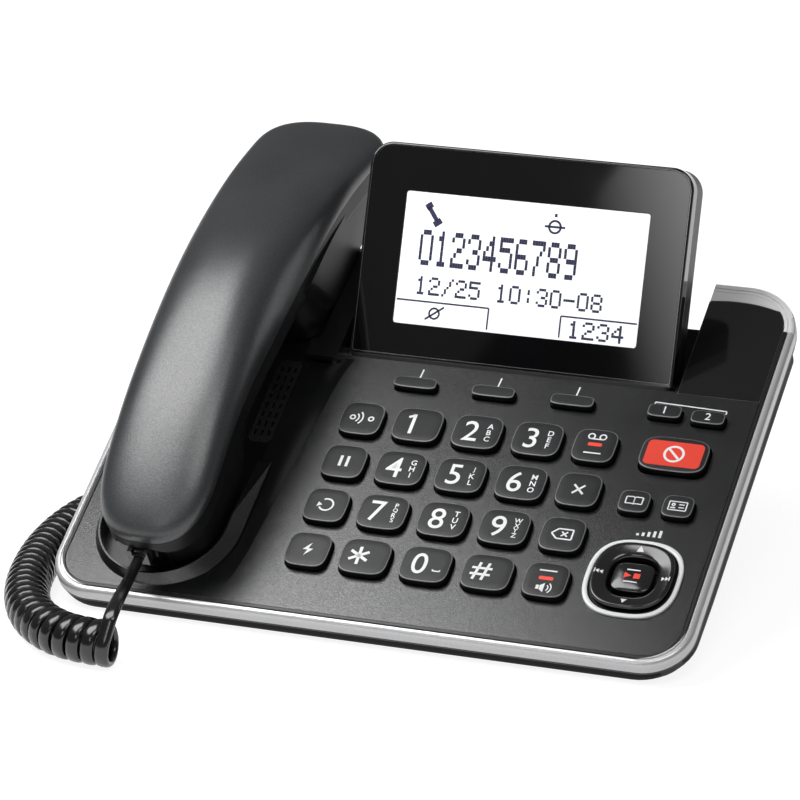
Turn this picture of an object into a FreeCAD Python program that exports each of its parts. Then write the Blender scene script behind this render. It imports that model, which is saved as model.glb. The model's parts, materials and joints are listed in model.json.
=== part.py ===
import FreeCAD, Part
import math
import os

from FreeCAD import Placement, Rotation, Vector

# Corded desk telephone with a built-in answering machine.
#
# Most pieces are drawn in the frame of the sloping top panel: x to the right,
# y up the slope and z out of the panel, with z = 0 on the panel's face and
# y = 0 on its front edge. place() then tilts them on to the desk frame, whose
# origin is on the desk under the middle of the telephone, +Y to the back.

# ---- driving dimensions, millimetres and degrees --------------------------

SLOPE = 30.0              # panel above the desk
FRONT_LIFT = 9.0          # height of the panel's front edge above the desk
HALF_DEPTH = 87.06        # front edge to the middle of the telephone's depth

BASE_WIDTH = 237.0
BASE_LENGTH = 175.0       # up the slope
FRONT_RADIUS = 17.0       # base corners, seen from above
BACK_RADIUS = 21.0
WALL = 2.4                # all housing walls

TRIM_WIDTH = 4.0          # silver band, seen from above
TRIM_HEIGHT = 5.2
TRIM_ROUND = 2.0
TRIM_GROOVE_INSET = 2.3
TRIM_GROOVE_WIDTH = 0.5
TRIM_GROOVE_DEPTH = 0.5
SEAT_GAP = 0.2            # between pieces of one housing
SKIRT_INSET = 0.8
SKIRT_DROP = 3.0          # black skirt under the band
SKIRT_LOW = -TRIM_HEIGHT - SKIRT_DROP
TUB_DEPTH = 36.0          # panel face to the underside
TUB_TAPER = 17.0          # how far the tub draws in below the skirt

HANDSET_TO_EDGE = 43.1    # its middle line to the base's left edge
HANDSET_X = -BASE_WIDTH / 2 + HANDSET_TO_EDGE
HANDSET_MID_Y = 100.0     # where the middle line crosses HANDSET_X
HANDSET_TURN = 1.15       # degrees, clockwise from above
HANDSET_FRONT = 8.0
HANDSET_OVERHANG = 40.6   # beyond the base's back edge
HANDSET_BACK = BASE_LENGTH + HANDSET_OVERHANG
HANDSET_HALF_WIDTHS = (21.0, 22.3, 25.3)            # mouthpiece, grip, earpiece
HANDSET_SEAM = (21.7, 35.4, 35.7, 33.5, 18.7)       # height of the seam, end to end
HANDSET_CROWN = (7.5, 12.4, 20.0, 11.8, 7.3)        # crown above the seam
FRONT_ROUND = 30.0
BACK_ROUND = 23.6
FRONT_POWER = 2.7
BACK_POWER = 2.87
SHELL_POWER = (2.5, 3.2)  # squareness of the cross-section, front and back
END_CLOSE = 0.72          # how fast the ends close in height against width
TRAY_DEPTH = 10.0         # side wall of the lower shell under the seam
TRAY_DRAFT = 0.5          # it leans in by this much
TRAY_ROUND = 2.0
SEAM_INSET = 0.5
SEAM_GAP = 0.1
CUP_GAP = 0.3             # cups above the cradle floor
CUP_HEAD = 33.0           # height that the cups' flanks are drawn to
CUP_CORNER = 12.0
MOUTH_CUP_FOOT = (15.4, 17.0, 58.0)       # half width, front and back
MOUTH_CUP_HEAD = (19.6, 11.0, 76.0)
EAR_CUP_FOOT = (18.2, 42.5, 6.5)          # half width, front and back ahead of WELL_BACK
EAR_CUP_HEAD = (23.4, 54.5, -31.0)
OVERHANG_FOOT = (20.5, 36.0, -22.0)       # the part that passes over the base's back edge
OVERHANG_GAP = 1.5        # above the panel
CAP_RADIUS = 12.5
CAP_THICK = 1.6
CAP_HOLE = 1.6
MOUTH_CAP_Y = 36.0
EAR_CAP_AHEAD = 21.5      # ear cap's middle ahead of WELL_BACK
RECESS_SIDES = (10.0, 6.0)                # room for the plug in the mouthpiece end, left and right
RECESS_DEPTH = 8.5
RECESS_LIP = 3.4          # its roof above the plug's middle
RIB_THICK = 0.9
RIB_LENGTH = 6.0
RIB_OUT = 1.2

WELL_SIDE = 6.1           # the cradle's middle line, left of the handset's
WELL_X = HANDSET_X - WELL_SIDE
WELL_Y = 32.5             # mouthpiece end of the cradle
WELL_RADIUS = 23.4
WELL_MARGIN = 4.5         # behind the cradle
WELL_BACK = BASE_LENGTH - WELL_MARGIN
WELL_DEPTH = 4.0
EAR_Y = WELL_BACK - EAR_CAP_AHEAD
EAR_BAY_LENGTH = 42.5     # the well widens to the right at its back
EAR_BAY_REACH = 20.9      # from the handset's middle line
EAR_BAY_FRONT = WELL_BACK - EAR_BAY_LENGTH
EAR_BAY_RIGHT = HANDSET_X + EAR_BAY_REACH
COLLAR_SIDE = 1.0
COLLAR_X = WELL_X + COLLAR_SIDE
COLLAR_Y = 33.6
COLLAR_RADIUS = 27.2
COLLAR_RISE = 4.0
COLLAR_FULL_TO = 40.0     # the collar sinks into the panel between these two
COLLAR_GONE_AT = 68.0

HANDSET_TO_DISPLAY = 33.8
DISPLAY_LEFT = HANDSET_X + HANDSET_TO_DISPLAY
EAR_WIDTH = 34.5          # right ear of the base, beside the display's pocket
NOTCH_SIDE_LEFT = 4.4     # display to the pocket's side walls
NOTCH_SIDE_RIGHT = 2.6
NOTCH_RIGHT = BASE_WIDTH / 2 - EAR_WIDTH            # pocket that the display folds into
NOTCH_LEFT = DISPLAY_LEFT - NOTCH_SIDE_LEFT
DISPLAY_RIGHT = NOTCH_RIGHT - NOTCH_SIDE_RIGHT
DISPLAY_HEIGHT = 78.7     # along its face, above the panel
DISPLAY_FOOT = 122.5      # where its face meets the panel
DISPLAY_TILT = 40.0       # face above the panel
DISPLAY_THICK = 15.0
DISPLAY_CORNER = 8.5
BEZEL_DEPTH = 5.0
BEZEL_EDGE = 1.1          # bezel seen round the lens
LENS_THICK = 1.2
LENS_SINK = 0.2
LCD_SIDE_LEFT = 15.4      # LCD to the display's sides and top
LCD_SIDE_RIGHT = 15.0
LCD_TOP = 17.3
LCD_LEFT = DISPLAY_LEFT + LCD_SIDE_LEFT
LCD_RIGHT = DISPLAY_RIGHT - LCD_SIDE_RIGHT
LCD_LOW = 13.2            # along the face
LCD_HIGH = DISPLAY_HEIGHT - LCD_TOP
LCD_THICK = 3.0
PIN_RADIUS = 2.5
PIN_CLEARANCE = 0.05
PIN_IN_DISPLAY = 10.0
PIN_BOSS_RADIUS = 5.2
NOTCH_AHEAD = 1.5         # pocket in front of the display's foot
NOTCH_FRONT = DISPLAY_FOOT - NOTCH_AHEAD
NOTCH_DEPTH = 18.5

DECK_THICK = 1.2
EAR_FACE_LEFT = 8.8       # the ear's wide silver face, at its two ends
EAR_FACE_RIGHT = 13.7
EAR_BOW = 2.9             # its front edge bulges backwards
EAR_LINE_LEFT = BASE_LENGTH - EAR_FACE_LEFT
EAR_LINE_RIGHT = BASE_LENGTH - EAR_FACE_RIGHT

NAV_TO_EDGE = 27.0        # navigator to the base's right edge
NAV_X = BASE_WIDTH / 2 - NAV_TO_EDGE
NAV_Y = 35.8
NAV_BEZEL_RADIUS = 17.0
NAV_BEZEL_WIDTH = 1.8
NAV_RING_RADIUS = 14.3
NAV_HOLE_RADIUS = 8.6
TRUNNION_RADIUS = 0.8
PLAY_KEY = (14.4, 12.6, 5.0)        # width, length, corner radius
PLAY_RISE = 2.2           # above the panel
NAV_RISE = 3.2

KEY_RISE = 2.8            # key top above the panel
KEY_TRAVEL = 1.2
KEY_GAP = 0.35            # key to the sides of its hole
KEY_BEVEL = 0.6
KEY_BOW = 0.45            # sides of a key bulge by this much
KEY_LIP = 0.9             # tabs that hold a key under the panel
KEY_LIP_THICK = 1.0
KEY_LIP_DROP = 0.5        # tab to the panel's underside
HANDSET_TO_COLUMN = 49.8  # handset to the left column of function keys
COLUMN_TO_NAV = 29.16     # right column of function keys to the navigator
DIGIT_SPACE = 4.8         # between digit keys
SIDE_SPACE = 4.66         # between digit and function keys
ROW_SPACE = 5.36
FUNCTION_NARROWER = 2.2   # function keys against digit keys
FUNCTION_SHORTER = 0.4
BOTTOM_ROW = 28.98
SOFT_TO_FOOT = 12.3       # soft keys to the display's foot
TOP_TO_SOFT = 19.54       # top row of digits to the soft keys
LEFT_COLUMN = HANDSET_X + HANDSET_TO_COLUMN
RIGHT_COLUMN = NAV_X - COLUMN_TO_NAV
MIDDLE_COLUMN = (LEFT_COLUMN + RIGHT_COLUMN) / 2
DIGIT_WIDTH = ((RIGHT_COLUMN - LEFT_COLUMN) / 2 - DIGIT_SPACE - SIDE_SPACE + FUNCTION_NARROWER / 2) / 2
COLUMN_PITCH = DIGIT_WIDTH + DIGIT_SPACE
SOFT_ROW = DISPLAY_FOOT - SOFT_TO_FOOT
ROW_PITCH = (SOFT_ROW - TOP_TO_SOFT - BOTTOM_ROW) / 3
DIGIT_LENGTH = ROW_PITCH - ROW_SPACE
DIGIT_KEY = (DIGIT_WIDTH, DIGIT_LENGTH, 4.6)
FUNCTION_KEY = (DIGIT_WIDTH - FUNCTION_NARROWER, DIGIT_LENGTH - FUNCTION_SHORTER, 4.4)
SOFT_KEY = (16.0, 5.0, 1.9)
TOUCH_KEY = (12.2, 5.8, 1.9)
CALL_BLOCK_KEY = (24.5, 15.4, 4.4)
SMALL_KEY = (11.0, 9.6, 3.0)
SOFT_FROM_COLUMN = 14.3   # left soft key, right of the left column
SOFT_FROM_NAV = 43.2      # right soft key, left of the navigator
TOUCH_SIDES = (-8.8, 7.4)           # one-touch keys, from the navigator's middle line
TOUCH_DROP = 0.8                    # the right one sits this much lower
SMALL_SIDES = (-8.2, 7.6)
CALL_BLOCK_DROP = 19.4              # below the soft keys

ROLL_AHEAD = 11.9         # panel rolls down towards the handset, left of the left column
ROLL_EDGE = LEFT_COLUMN - ROLL_AHEAD
ROLL_WIDTH = 15.0
ROLL_DEPTH = 4.0          # at the display
ROLL_FADE = 2.1           # degrees: it runs out towards the front

PLUNGER_WIDTH = 8.0
PLUNGER_LENGTH = 4.5
PLUNGER_AHEAD = 18.5      # in front of the ear cap
PLUNGER_SIDE = 4.6        # left of the handset's middle line
PLUNGER_Y = EAR_Y - PLUNGER_AHEAD
PLUNGER_X = HANDSET_X - PLUNGER_SIDE
PLUNGER_TRAVEL = 4.0
PLUNGER_GAP = 0.3

SPEAKER_RADIUS = 19.0
SPEAKER_DEPTH = 14.0
SPEAKER_AHEAD = 31.0      # in front of the plunger
SPEAKER_SIDE = 1.6        # left of the handset's middle line
SPEAKER_X = HANDSET_X - SPEAKER_SIDE
SPEAKER_Y = PLUNGER_Y - SPEAKER_AHEAD
GRILLE_SIDE = 11.8        # right of the handset's middle line
GRILLE_X = HANDSET_X + GRILLE_SIDE
GRILLE_Y = SPEAKER_Y
GRILLE_WIDTH = 9.0
GRILLE_LENGTH = 40.0
GRILLE_THICK = 1.4
GRILLE_LEDGE = 1.0
GRILLE_ROWS = 3
GRILLE_SLOTS = 8
GRILLE_PITCH_X = 2.6
GRILLE_PITCH_Y = 4.4
SLOT_LENGTH = 2.4
SLOT_WIDTH = 0.9

PLUG_WIDTH = 7.7
PLUG_HEIGHT = 6.2
PLUG_LENGTH = 12.0
PLUG_SIDE = -2.0          # from the handset's middle line
PLUG_Z = 14.6
PLUG_FACE = 6.4           # its outer face, up the slope
PLUG_FIT = 0.3
BASE_JACK_Y = 100.0       # left wall of the base, panel frame
BASE_JACK_Z = -26.6
BASE_PLUG_OUT = 3.0

LEAD_DIAMETER = 4.0
COIL_DIAMETER = 16.5

BOARD_THICK = 1.6
BOARD_SIDE = 7.4          # beyond the left column
BOARD_TO_EDGE = 9.5       # to the base's right edge
BOARD_FRONT = 19.0
BOARD_TO_NOTCH = 8.4
BOARD_LEFT = LEFT_COLUMN - BOARD_SIDE
BOARD_RIGHT = BASE_WIDTH / 2 - BOARD_TO_EDGE
BOARD_BACK = NOTCH_FRONT - BOARD_TO_NOTCH
PAD_GAP = 0.3             # contact pads below a pressed key
PAD_HEIGHT = 1.4          # above the mat
MAT_THICK = 1.2

STAND_HALF_WIDTH = 78.0
STAND_FRONT = 88.0        # from the front edge, along the desk
STAND_MARGIN = 6.1        # ahead of the tub's back edge
DESK_GAP = 2.0            # housings above the desk
FOOT_RADIUS = 6.0
FOOT_RECESS = 0.6
FOOT_TO_EDGE = 26.5       # front feet to the base's sides
FRONT_FOOT_Y = 17.0
STAND_FOOT_INSET = (14.0, 11.0)     # rear feet to the stand's sides and back
SCREW_RADIUS = 3.0
SCREW_LENGTH = 14.0
SCREW_BORE = 1.5
SCREW_TO_EDGE = 25.0      # outer screws to the base's sides and back
SCREW_FRONT = 26.0
SCREW_FROM_NAV = (15.0, 13.0)       # left of the navigator and in front of it
POST_RADIUS = 5.0
BOARD_POST_RADIUS = 3.0

SOCKET_HEIGHT = 70.0      # rear sockets above the desk
LINE_SOCKET_TO_EDGE = 34.5
SOCKET_PITCH = 22.0
LINE_SOCKET_X = -BASE_WIDTH / 2 + LINE_SOCKET_TO_EDGE
POWER_SOCKET_X = LINE_SOCKET_X + SOCKET_PITCH
LINE_SOCKET = (12.0, 9.0)           # width, height
POWER_SOCKET = (9.0, 9.0)           # block around the round power socket
POWER_BORE = 3.9                    # its radius
SOCKET_DEPTH = 11.0
JACK_WIDTH = 9.4          # sockets for modular plugs
JACK_HEIGHT = 7.4

# ---- frames ---------------------------------------------------------------

TO_DESK = Placement(Vector(0, -HALF_DEPTH, FRONT_LIFT), Rotation(Vector(1, 0, 0), SLOPE))
FROM_DESK = TO_DESK.inverse()
FAR = BASE_WIDTH + BASE_LENGTH      # farther out than any piece


def place(shape, frame=TO_DESK):
    moved = shape.copy()
    moved.transformShape(frame.toMatrix())
    return moved


def box(x0, x1, y0, y1, z0, z1):
    return Part.makeBox(x1 - x0, y1 - y0, z1 - z0, Vector(x0, y0, z0))


def prism(wire, low, high):
    face = Part.Face(wire)
    face.translate(Vector(0, 0, low))
    return face.extrude(Vector(0, 0, high - low))


def slab(points, low, high):
    """Prism on a polygon given by its (x, y) corners."""
    corners = [Vector(x, y, 0) for x, y in points]
    return prism(Part.makePolygon(corners + corners[:1]), low, high)


def side_slab(points, low, high):
    """Prism along x on a polygon given by its (y, z) corners."""
    corners = [Vector(low, y, z) for y, z in points]
    face = Part.Face(Part.makePolygon(corners + corners[:1]))
    return face.extrude(Vector(high - low, 0, 0))


def fuse(shapes):
    whole = shapes[0].multiFuse(shapes[1:]) if len(shapes) > 1 else shapes[0]
    return whole.removeSplitter()


def solid_of(shape):
    return shape.Solids[0] if len(shape.Solids) == 1 else shape


# ---- outlines -------------------------------------------------------------


def rounded_wire(x0, x1, y0, y1, radii, z=0.0):
    """Rectangle with a radius at each corner: front left, front right, back right, back left."""
    corners = [(x0, y0, 180), (x1, y0, 270), (x1, y1, 0), (x0, y1, 90)]
    edges = []
    previous = None
    first = None
    for (cx, cy, start), radius in zip(corners, radii):
        sx = 1 if cx == x0 else -1
        sy = 1 if cy == y0 else -1
        centre = Vector(cx + sx * radius, cy + sy * radius, z)
        points = []
        for turn in (0, 45, 90):
            angle = math.radians(start + turn)
            points.append(centre + Vector(math.cos(angle), math.sin(angle), 0) * radius)
        if previous is None:
            first = points[0]
        else:
            edges.append(Part.LineSegment(previous, points[0]).toShape())
        edges.append(Part.Arc(points[0], points[1], points[2]).toShape())
        previous = points[2]
    edges.append(Part.LineSegment(previous, first).toShape())
    return Part.Wire(edges)


def base_wire(inset, z=0.0):
    half = BASE_WIDTH / 2 - inset
    front = max(FRONT_RADIUS - inset, 4.0)
    back = max(BACK_RADIUS - inset, 4.0)
    radii = (front, front, back, back)
    return rounded_wire(-half, half, inset, BASE_LENGTH - inset, radii, z)


def squircle(x, y, width, length, corner, bow, z=0.0):
    """Key outline: four bowed sides joined by round corners."""
    half_w = width / 2
    half_l = length / 2
    mid = corner * (1 - math.sqrt(0.5)) + bow
    quarter = [
        ((half_w - corner, -half_l + bow), None),
        ((half_w - bow, -half_l + corner), (half_w - mid, -half_l + mid)),
        ((half_w - bow, half_l - corner), (half_w, 0)),
        ((half_w - corner, half_l - bow), (half_w - mid, half_l - mid)),
        ((-half_w + corner, half_l - bow), (0, half_l)),
        ((-half_w + bow, half_l - corner), (-half_w + mid, half_l - mid)),
        ((-half_w + bow, -half_l + corner), (-half_w, 0)),
        ((-half_w + corner, -half_l + bow), (-half_w + mid, -half_l + mid)),
        ((half_w - corner, -half_l + bow), (0, -half_l)),
    ]
    edges = []
    for (start, _), (end, through) in zip(quarter, quarter[1:]):
        p, q, r = [Vector(x + a, y + b, z) for a, b in (start, through, end)]
        edges.append(Part.Arc(p, q, r).toShape())
    return Part.Wire(edges)


# ---- display frame --------------------------------------------------------

# The display turns about a pin line set so that its face lies flush with the
# panel when it is folded right back.
_tilt = math.radians(DISPLAY_TILT)
PIVOT_DEPTH = DISPLAY_THICK * 0.55
PIVOT_Z = -PIVOT_DEPTH
PIVOT_Y = DISPLAY_FOOT + PIVOT_DEPTH * (1 - math.cos(_tilt)) / math.sin(_tilt)
BARREL_RADIUS = PIVOT_DEPTH
DISPLAY_FRAME = Placement(Vector(0, DISPLAY_FOOT, 0), Rotation(Vector(1, 0, 0), DISPLAY_TILT))
PIVOT_S = (PIVOT_Y - DISPLAY_FOOT) * math.cos(_tilt) + PIVOT_Z * math.sin(_tilt)


def in_display(shape):
    """From the display's own frame (y up its face, z out of it) to the panel's."""
    return place(shape, DISPLAY_FRAME)


# ---- keys -----------------------------------------------------------------


def key_layout():
    """Every key that slides into the panel: name -> (x, y, (width, length, corner))."""
    columns = [MIDDLE_COLUMN - COLUMN_PITCH, MIDDLE_COLUMN, MIDDLE_COLUMN + COLUMN_PITCH]
    rows = [BOTTOM_ROW + ROW_PITCH * n for n in range(4)]
    keys = {}
    digits = [["key_star", "key_0", "key_hash"], ["key_7", "key_8", "key_9"],
              ["key_4", "key_5", "key_6"], ["key_1", "key_2", "key_3"]]
    for row, names in zip(rows, digits):
        for column, name in zip(columns, names):
            keys[name] = (column, row, DIGIT_KEY)
    for row, name in zip(rows, ["key_flash", "key_redial", "key_hold", "key_intercom"]):
        keys[name] = (LEFT_COLUMN, row, FUNCTION_KEY)
    for row, name in zip(rows, ["key_speakerphone", "key_erase", "key_exit", "key_answer"]):
        keys[name] = (RIGHT_COLUMN, row, FUNCTION_KEY)
    soft_left = LEFT_COLUMN + SOFT_FROM_COLUMN
    soft_right = NAV_X - SOFT_FROM_NAV
    soft_places = (soft_left, (soft_left + soft_right) / 2, soft_right)
    for x, name in zip(soft_places, ["soft_key_left", "soft_key_middle", "soft_key_right"]):
        keys[name] = (x, SOFT_ROW, SOFT_KEY)
    keys["one_touch_key_1"] = (NAV_X + TOUCH_SIDES[0], SOFT_ROW, TOUCH_KEY)
    keys["one_touch_key_2"] = (NAV_X + TOUCH_SIDES[1], SOFT_ROW - TOUCH_DROP, TOUCH_KEY)
    block_y = SOFT_ROW - CALL_BLOCK_DROP
    keys["call_block_key"] = (NAV_X, block_y, CALL_BLOCK_KEY)
    small_y = (NAV_Y + NAV_BEZEL_RADIUS + block_y - CALL_BLOCK_KEY[1] / 2) / 2
    keys["phonebook_key"] = (NAV_X + SMALL_SIDES[0], small_y, SMALL_KEY)
    keys["caller_id_key"] = (NAV_X + SMALL_SIDES[1], small_y, SMALL_KEY)
    return keys


KEYS = key_layout()
LIP_TOP = -WALL - KEY_LIP_DROP
KEY_BASE = LIP_TOP - KEY_LIP_THICK


def key_solid(x, y, size, rise=KEY_RISE):
    width, length, corner = size
    bow = min(KEY_BOW, length / 20)
    shoulder = rise - KEY_BEVEL
    cap = prism(squircle(x, y, width, length, corner, bow), KEY_BASE, shoulder)
    edge = squircle(x, y, width, length, corner, bow, shoulder)
    top = squircle(x, y, width - 2 * KEY_BEVEL, length - 2 * KEY_BEVEL, corner - KEY_BEVEL, bow, rise)
    bevel = Part.makeLoft([edge, top], True, True)
    reach = width / 2 + KEY_LIP
    tab_half = length / 5
    tabs = box(x - reach, x + reach, y - tab_half, y + tab_half, KEY_BASE, LIP_TOP)
    return fuse([cap, bevel, tabs])


def key_hole(x, y, size):
    width, length, corner = size
    half_w = width / 2 + KEY_GAP
    half_l = length / 2 + KEY_GAP
    wire = rounded_wire(x - half_w, x + half_w, y - half_l, y + half_l, [corner] * 4)
    return prism(wire, -WALL - 1, 1)


def lamp_window(name, lift):
    """Small red window let into a key, near its front or middle edge."""
    x, y, _ = KEYS[name]
    wire = rounded_wire(x - 2.6, x + 2.6, y - 0.75 + lift, y + 0.75 + lift, [0.5] * 4)
    return prism(wire, KEY_RISE - 1.2, KEY_RISE + 0.05)


def make_keys():
    parts = {}
    for name, (x, y, size) in KEYS.items():
        parts[name] = key_solid(x, y, size)
    for name, lamp, lift in (("key_answer", "answer_lamp", 0.4), ("key_speakerphone", "speaker_lamp", 0.6)):
        window = lamp_window(name, lift)
        parts[name] = parts[name].cut(window)
        parts[lamp] = window
    return parts


# ---- navigator ------------------------------------------------------------

NAV_CENTRE = Vector(NAV_X, NAV_Y, 0)
GIMBAL_RADIUS = NAV_HOLE_RADIUS + 2.0
GIMBAL_HOLE = NAV_HOLE_RADIUS + 0.6
GIMBAL_THICK = 1.2
GIMBAL_Z = -WALL - 2.1
ROCKER_LOW = -WALL - 0.2
ROCKER_ROOM = NAV_RING_RADIUS + 0.9
LUG_WIDTH = 3.2
LUG_THICK = 1.6
LUG_LOW = GIMBAL_Z - TRUNNION_RADIUS - 0.5


def ring(outer, inner, low, high, centre=NAV_CENTRE):
    disc = Part.makeCylinder(outer, high - low, centre + Vector(0, 0, low))
    return disc.cut(Part.makeCylinder(inner, high - low, centre + Vector(0, 0, low)))


def trunnion_rod(reach, radius, turn):
    """Rod through the navigator's middle, along x (turn 0) or y (turn 90)."""
    along = Vector(1, 0, 0) if turn == 0 else Vector(0, 1, 0)
    return Part.makeCylinder(radius, 2 * reach, Vector(NAV_X, NAV_Y, GIMBAL_Z) - along * reach, along)


def trunnion_lugs(inner, top, turn):
    """Pair of bearing lugs from inner outwards, on both sides of the navigator."""
    lugs = []
    for side in (-1, 1):
        x0, x1 = sorted((side * inner, side * (inner + LUG_THICK)))
        lug = box(x0, x1, -LUG_WIDTH / 2, LUG_WIDTH / 2, LUG_LOW, top)
        lug.rotate(Vector(0, 0, 0), Vector(0, 0, 1), turn)
        lug.translate(NAV_CENTRE)
        lugs.append(lug)
    return lugs


def make_navigator():
    bezel_inner = NAV_BEZEL_RADIUS - NAV_BEZEL_WIDTH
    bezel = ring(NAV_BEZEL_RADIUS, bezel_inner, -1.0, 0.9)
    edges = [e for e in bezel.Edges if e.BoundBox.ZMin > 0.85]
    bezel = bezel.makeFillet(0.5, edges)
    # the rocker's top slopes gently outwards and its hole has a soft edge
    rise = NAV_RISE
    profile = [(NAV_HOLE_RADIUS, ROCKER_LOW), (NAV_RING_RADIUS, ROCKER_LOW), (NAV_RING_RADIUS, rise - 1.6),
               (NAV_RING_RADIUS - 0.9, rise - 0.5), (NAV_RING_RADIUS - 2.4, rise),
               (NAV_HOLE_RADIUS + 1.6, rise), (NAV_HOLE_RADIUS, rise - 0.9)]
    corners = [Vector(r, 0, z) for r, z in profile]
    face = Part.Face(Part.makePolygon(corners + corners[:1]))
    rocker = face.revolve(Vector(0, 0, 0), Vector(0, 0, 1), 360)
    rocker.translate(NAV_CENTRE)
    # the rocker hangs by two side lugs on the gimbal frame's trunnions, and the
    # frame by its front and back trunnions in two lugs under the case
    rocker = fuse([rocker] + trunnion_lugs(NAV_RING_RADIUS - LUG_THICK - 0.4, ROCKER_LOW + 0.5, 0))
    rocker = rocker.cut(trunnion_rod(FAR, TRUNNION_RADIUS + PIN_CLEARANCE, 0))
    half = GIMBAL_THICK / 2
    frame = ring(GIMBAL_RADIUS, GIMBAL_HOLE, GIMBAL_Z - half, GIMBAL_Z + half)
    rods = [trunnion_rod(NAV_RING_RADIUS - 0.4, TRUNNION_RADIUS, 0),
            trunnion_rod(ROCKER_ROOM + LUG_THICK, TRUNNION_RADIUS, 90)]
    frame = fuse([frame] + rods)
    frame = frame.cut(Part.makeCylinder(GIMBAL_HOLE, FAR, NAV_CENTRE + Vector(0, 0, -FAR / 2)))
    play = key_solid(NAV_X, NAV_Y, PLAY_KEY, rise=PLAY_RISE)
    return {"navigator_bezel": bezel, "navigator_ring": rocker,
            "navigator_gimbal": frame, "play_stop_key": play}


# ---- base housings --------------------------------------------------------


def base_body(inset, low, high):
    return prism(base_wire(inset), low, high)


def notch_cut(margin, floor, top=20.0):
    """Room for the display and its sweep, grown by margin on the sides and front."""
    x0 = NOTCH_LEFT - margin
    x1 = NOTCH_RIGHT + margin
    pocket = box(x0, x1, NOTCH_FRONT + 0.6 - margin, FAR, floor, top)
    radius = BARREL_RADIUS + 0.5 + margin
    barrel = Part.makeCylinder(radius, x1 - x0, Vector(x0, PIVOT_Y, PIVOT_Z), Vector(1, 0, 0))
    return fuse([pocket, barrel])


def ear_slab(drop, end_y):
    """Right ear from the bowed front edge of its silver face, lowered by drop, to end_y."""
    left = Vector(NOTCH_RIGHT, EAR_LINE_LEFT - drop, 0)
    right = Vector(BASE_WIDTH / 2, EAR_LINE_RIGHT - drop, 0)
    middle = (left + right) / 2 + Vector(0, EAR_BOW, 0)
    path = [right, Vector(right.x, end_y, 0), Vector(left.x, end_y, 0), left]
    edges = [Part.LineSegment(a, b).toShape() for a, b in zip(path, path[1:])]
    return prism(Part.Wire([Part.Arc(left, middle, right).toShape()] + edges), -5, 5)


def make_trim():
    band = base_body(0, -TRIM_HEIGHT, 0.2)
    rim = [e for e in band.Edges if e.BoundBox.ZMin > 0.15]
    band = band.makeFillet(TRIM_ROUND, rim)
    ear = base_body(0.5, -DECK_THICK, 0.05).common(ear_slab(0, BASE_LENGTH))
    band = band.cut(base_body(TRIM_WIDTH, -TRIM_HEIGHT - 1, 1))
    band = fuse([band, ear])
    groove_out = base_body(TRIM_GROOVE_INSET, 0.2 - TRIM_GROOVE_DEPTH, 1)
    groove_in = base_body(TRIM_GROOVE_INSET + TRIM_GROOVE_WIDTH, -2, 2)
    band = band.cut(groove_out.cut(groove_in))
    gate = box(NOTCH_LEFT - SEAT_GAP, NOTCH_RIGHT + SEAT_GAP, NOTCH_FRONT, BASE_LENGTH + 5, -20, 5)
    return solid_of(band.cut(gate))


def make_deck():
    inner = base_body(TRIM_WIDTH + SEAT_GAP, -DECK_THICK, 0.0)
    return inner.common(ear_slab(SEAT_GAP, NOTCH_FRONT))


def roll_face(offset):
    """Soft S that carries the panel down to the handset, seen along the slope."""
    radius = (ROLL_WIDTH ** 2 + ROLL_DEPTH ** 2) / (4 * ROLL_DEPTH)
    upper = Vector(ROLL_EDGE, 0, -radius)
    lower = Vector(ROLL_EDGE - ROLL_WIDTH, 0, radius - ROLL_DEPTH)
    bend = math.asin(ROLL_WIDTH / 2 / radius)

    def arc(centre, size, angles):
        pts = [centre + Vector(math.cos(a), 0, math.sin(a)) * size for a in angles]
        return Part.Arc(*pts).toShape(), pts

    top_edge, top = arc(upper, radius - offset, [math.pi / 2 + bend * k for k in (0, 0.5, 1)])
    low_edge, low = arc(lower, radius + offset, [-math.pi / 2 + bend * k for k in (1, 0.5, 0)])
    reach = WELL_X + WELL_RADIUS - 1
    above = 12.0
    path = [low[2], Vector(reach, 0, low[2].z), Vector(reach, 0, above), Vector(top[0].x, 0, above), top[0]]
    lines = [Part.LineSegment(a, b).toShape() for a, b in zip(path, path[1:])]
    return Part.Face(Part.Wire([top_edge, low_edge] + lines))


def roll_cut(offset):
    """The roll's room above its surface; it climbs out of the panel near the front."""
    face = roll_face(offset)
    start = Vector(0, NOTCH_FRONT - 1.0, 0)
    run = NOTCH_FRONT - 8.0
    rise = run * math.tan(math.radians(ROLL_FADE))
    face.translate(start)
    return face.extrude(Vector(0, -run, rise))


def well_cut(margin, floor, top=30.0):
    """Cradle well: round at the mouthpiece, square and wider at the earpiece."""
    radius = WELL_RADIUS + margin
    left = WELL_X - radius
    run = rounded_wire(left, WELL_X + radius, WELL_Y - radius, WELL_BACK + margin,
                       [radius - 0.01] * 2 + [6, 6])
    back = WELL_BACK + margin
    bay = rounded_wire(left, EAR_BAY_RIGHT + margin, EAR_BAY_FRONT - margin, back, [2, 2, 6, 6])
    return fuse([prism(run, floor, top), prism(bay, floor, top)])


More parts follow.
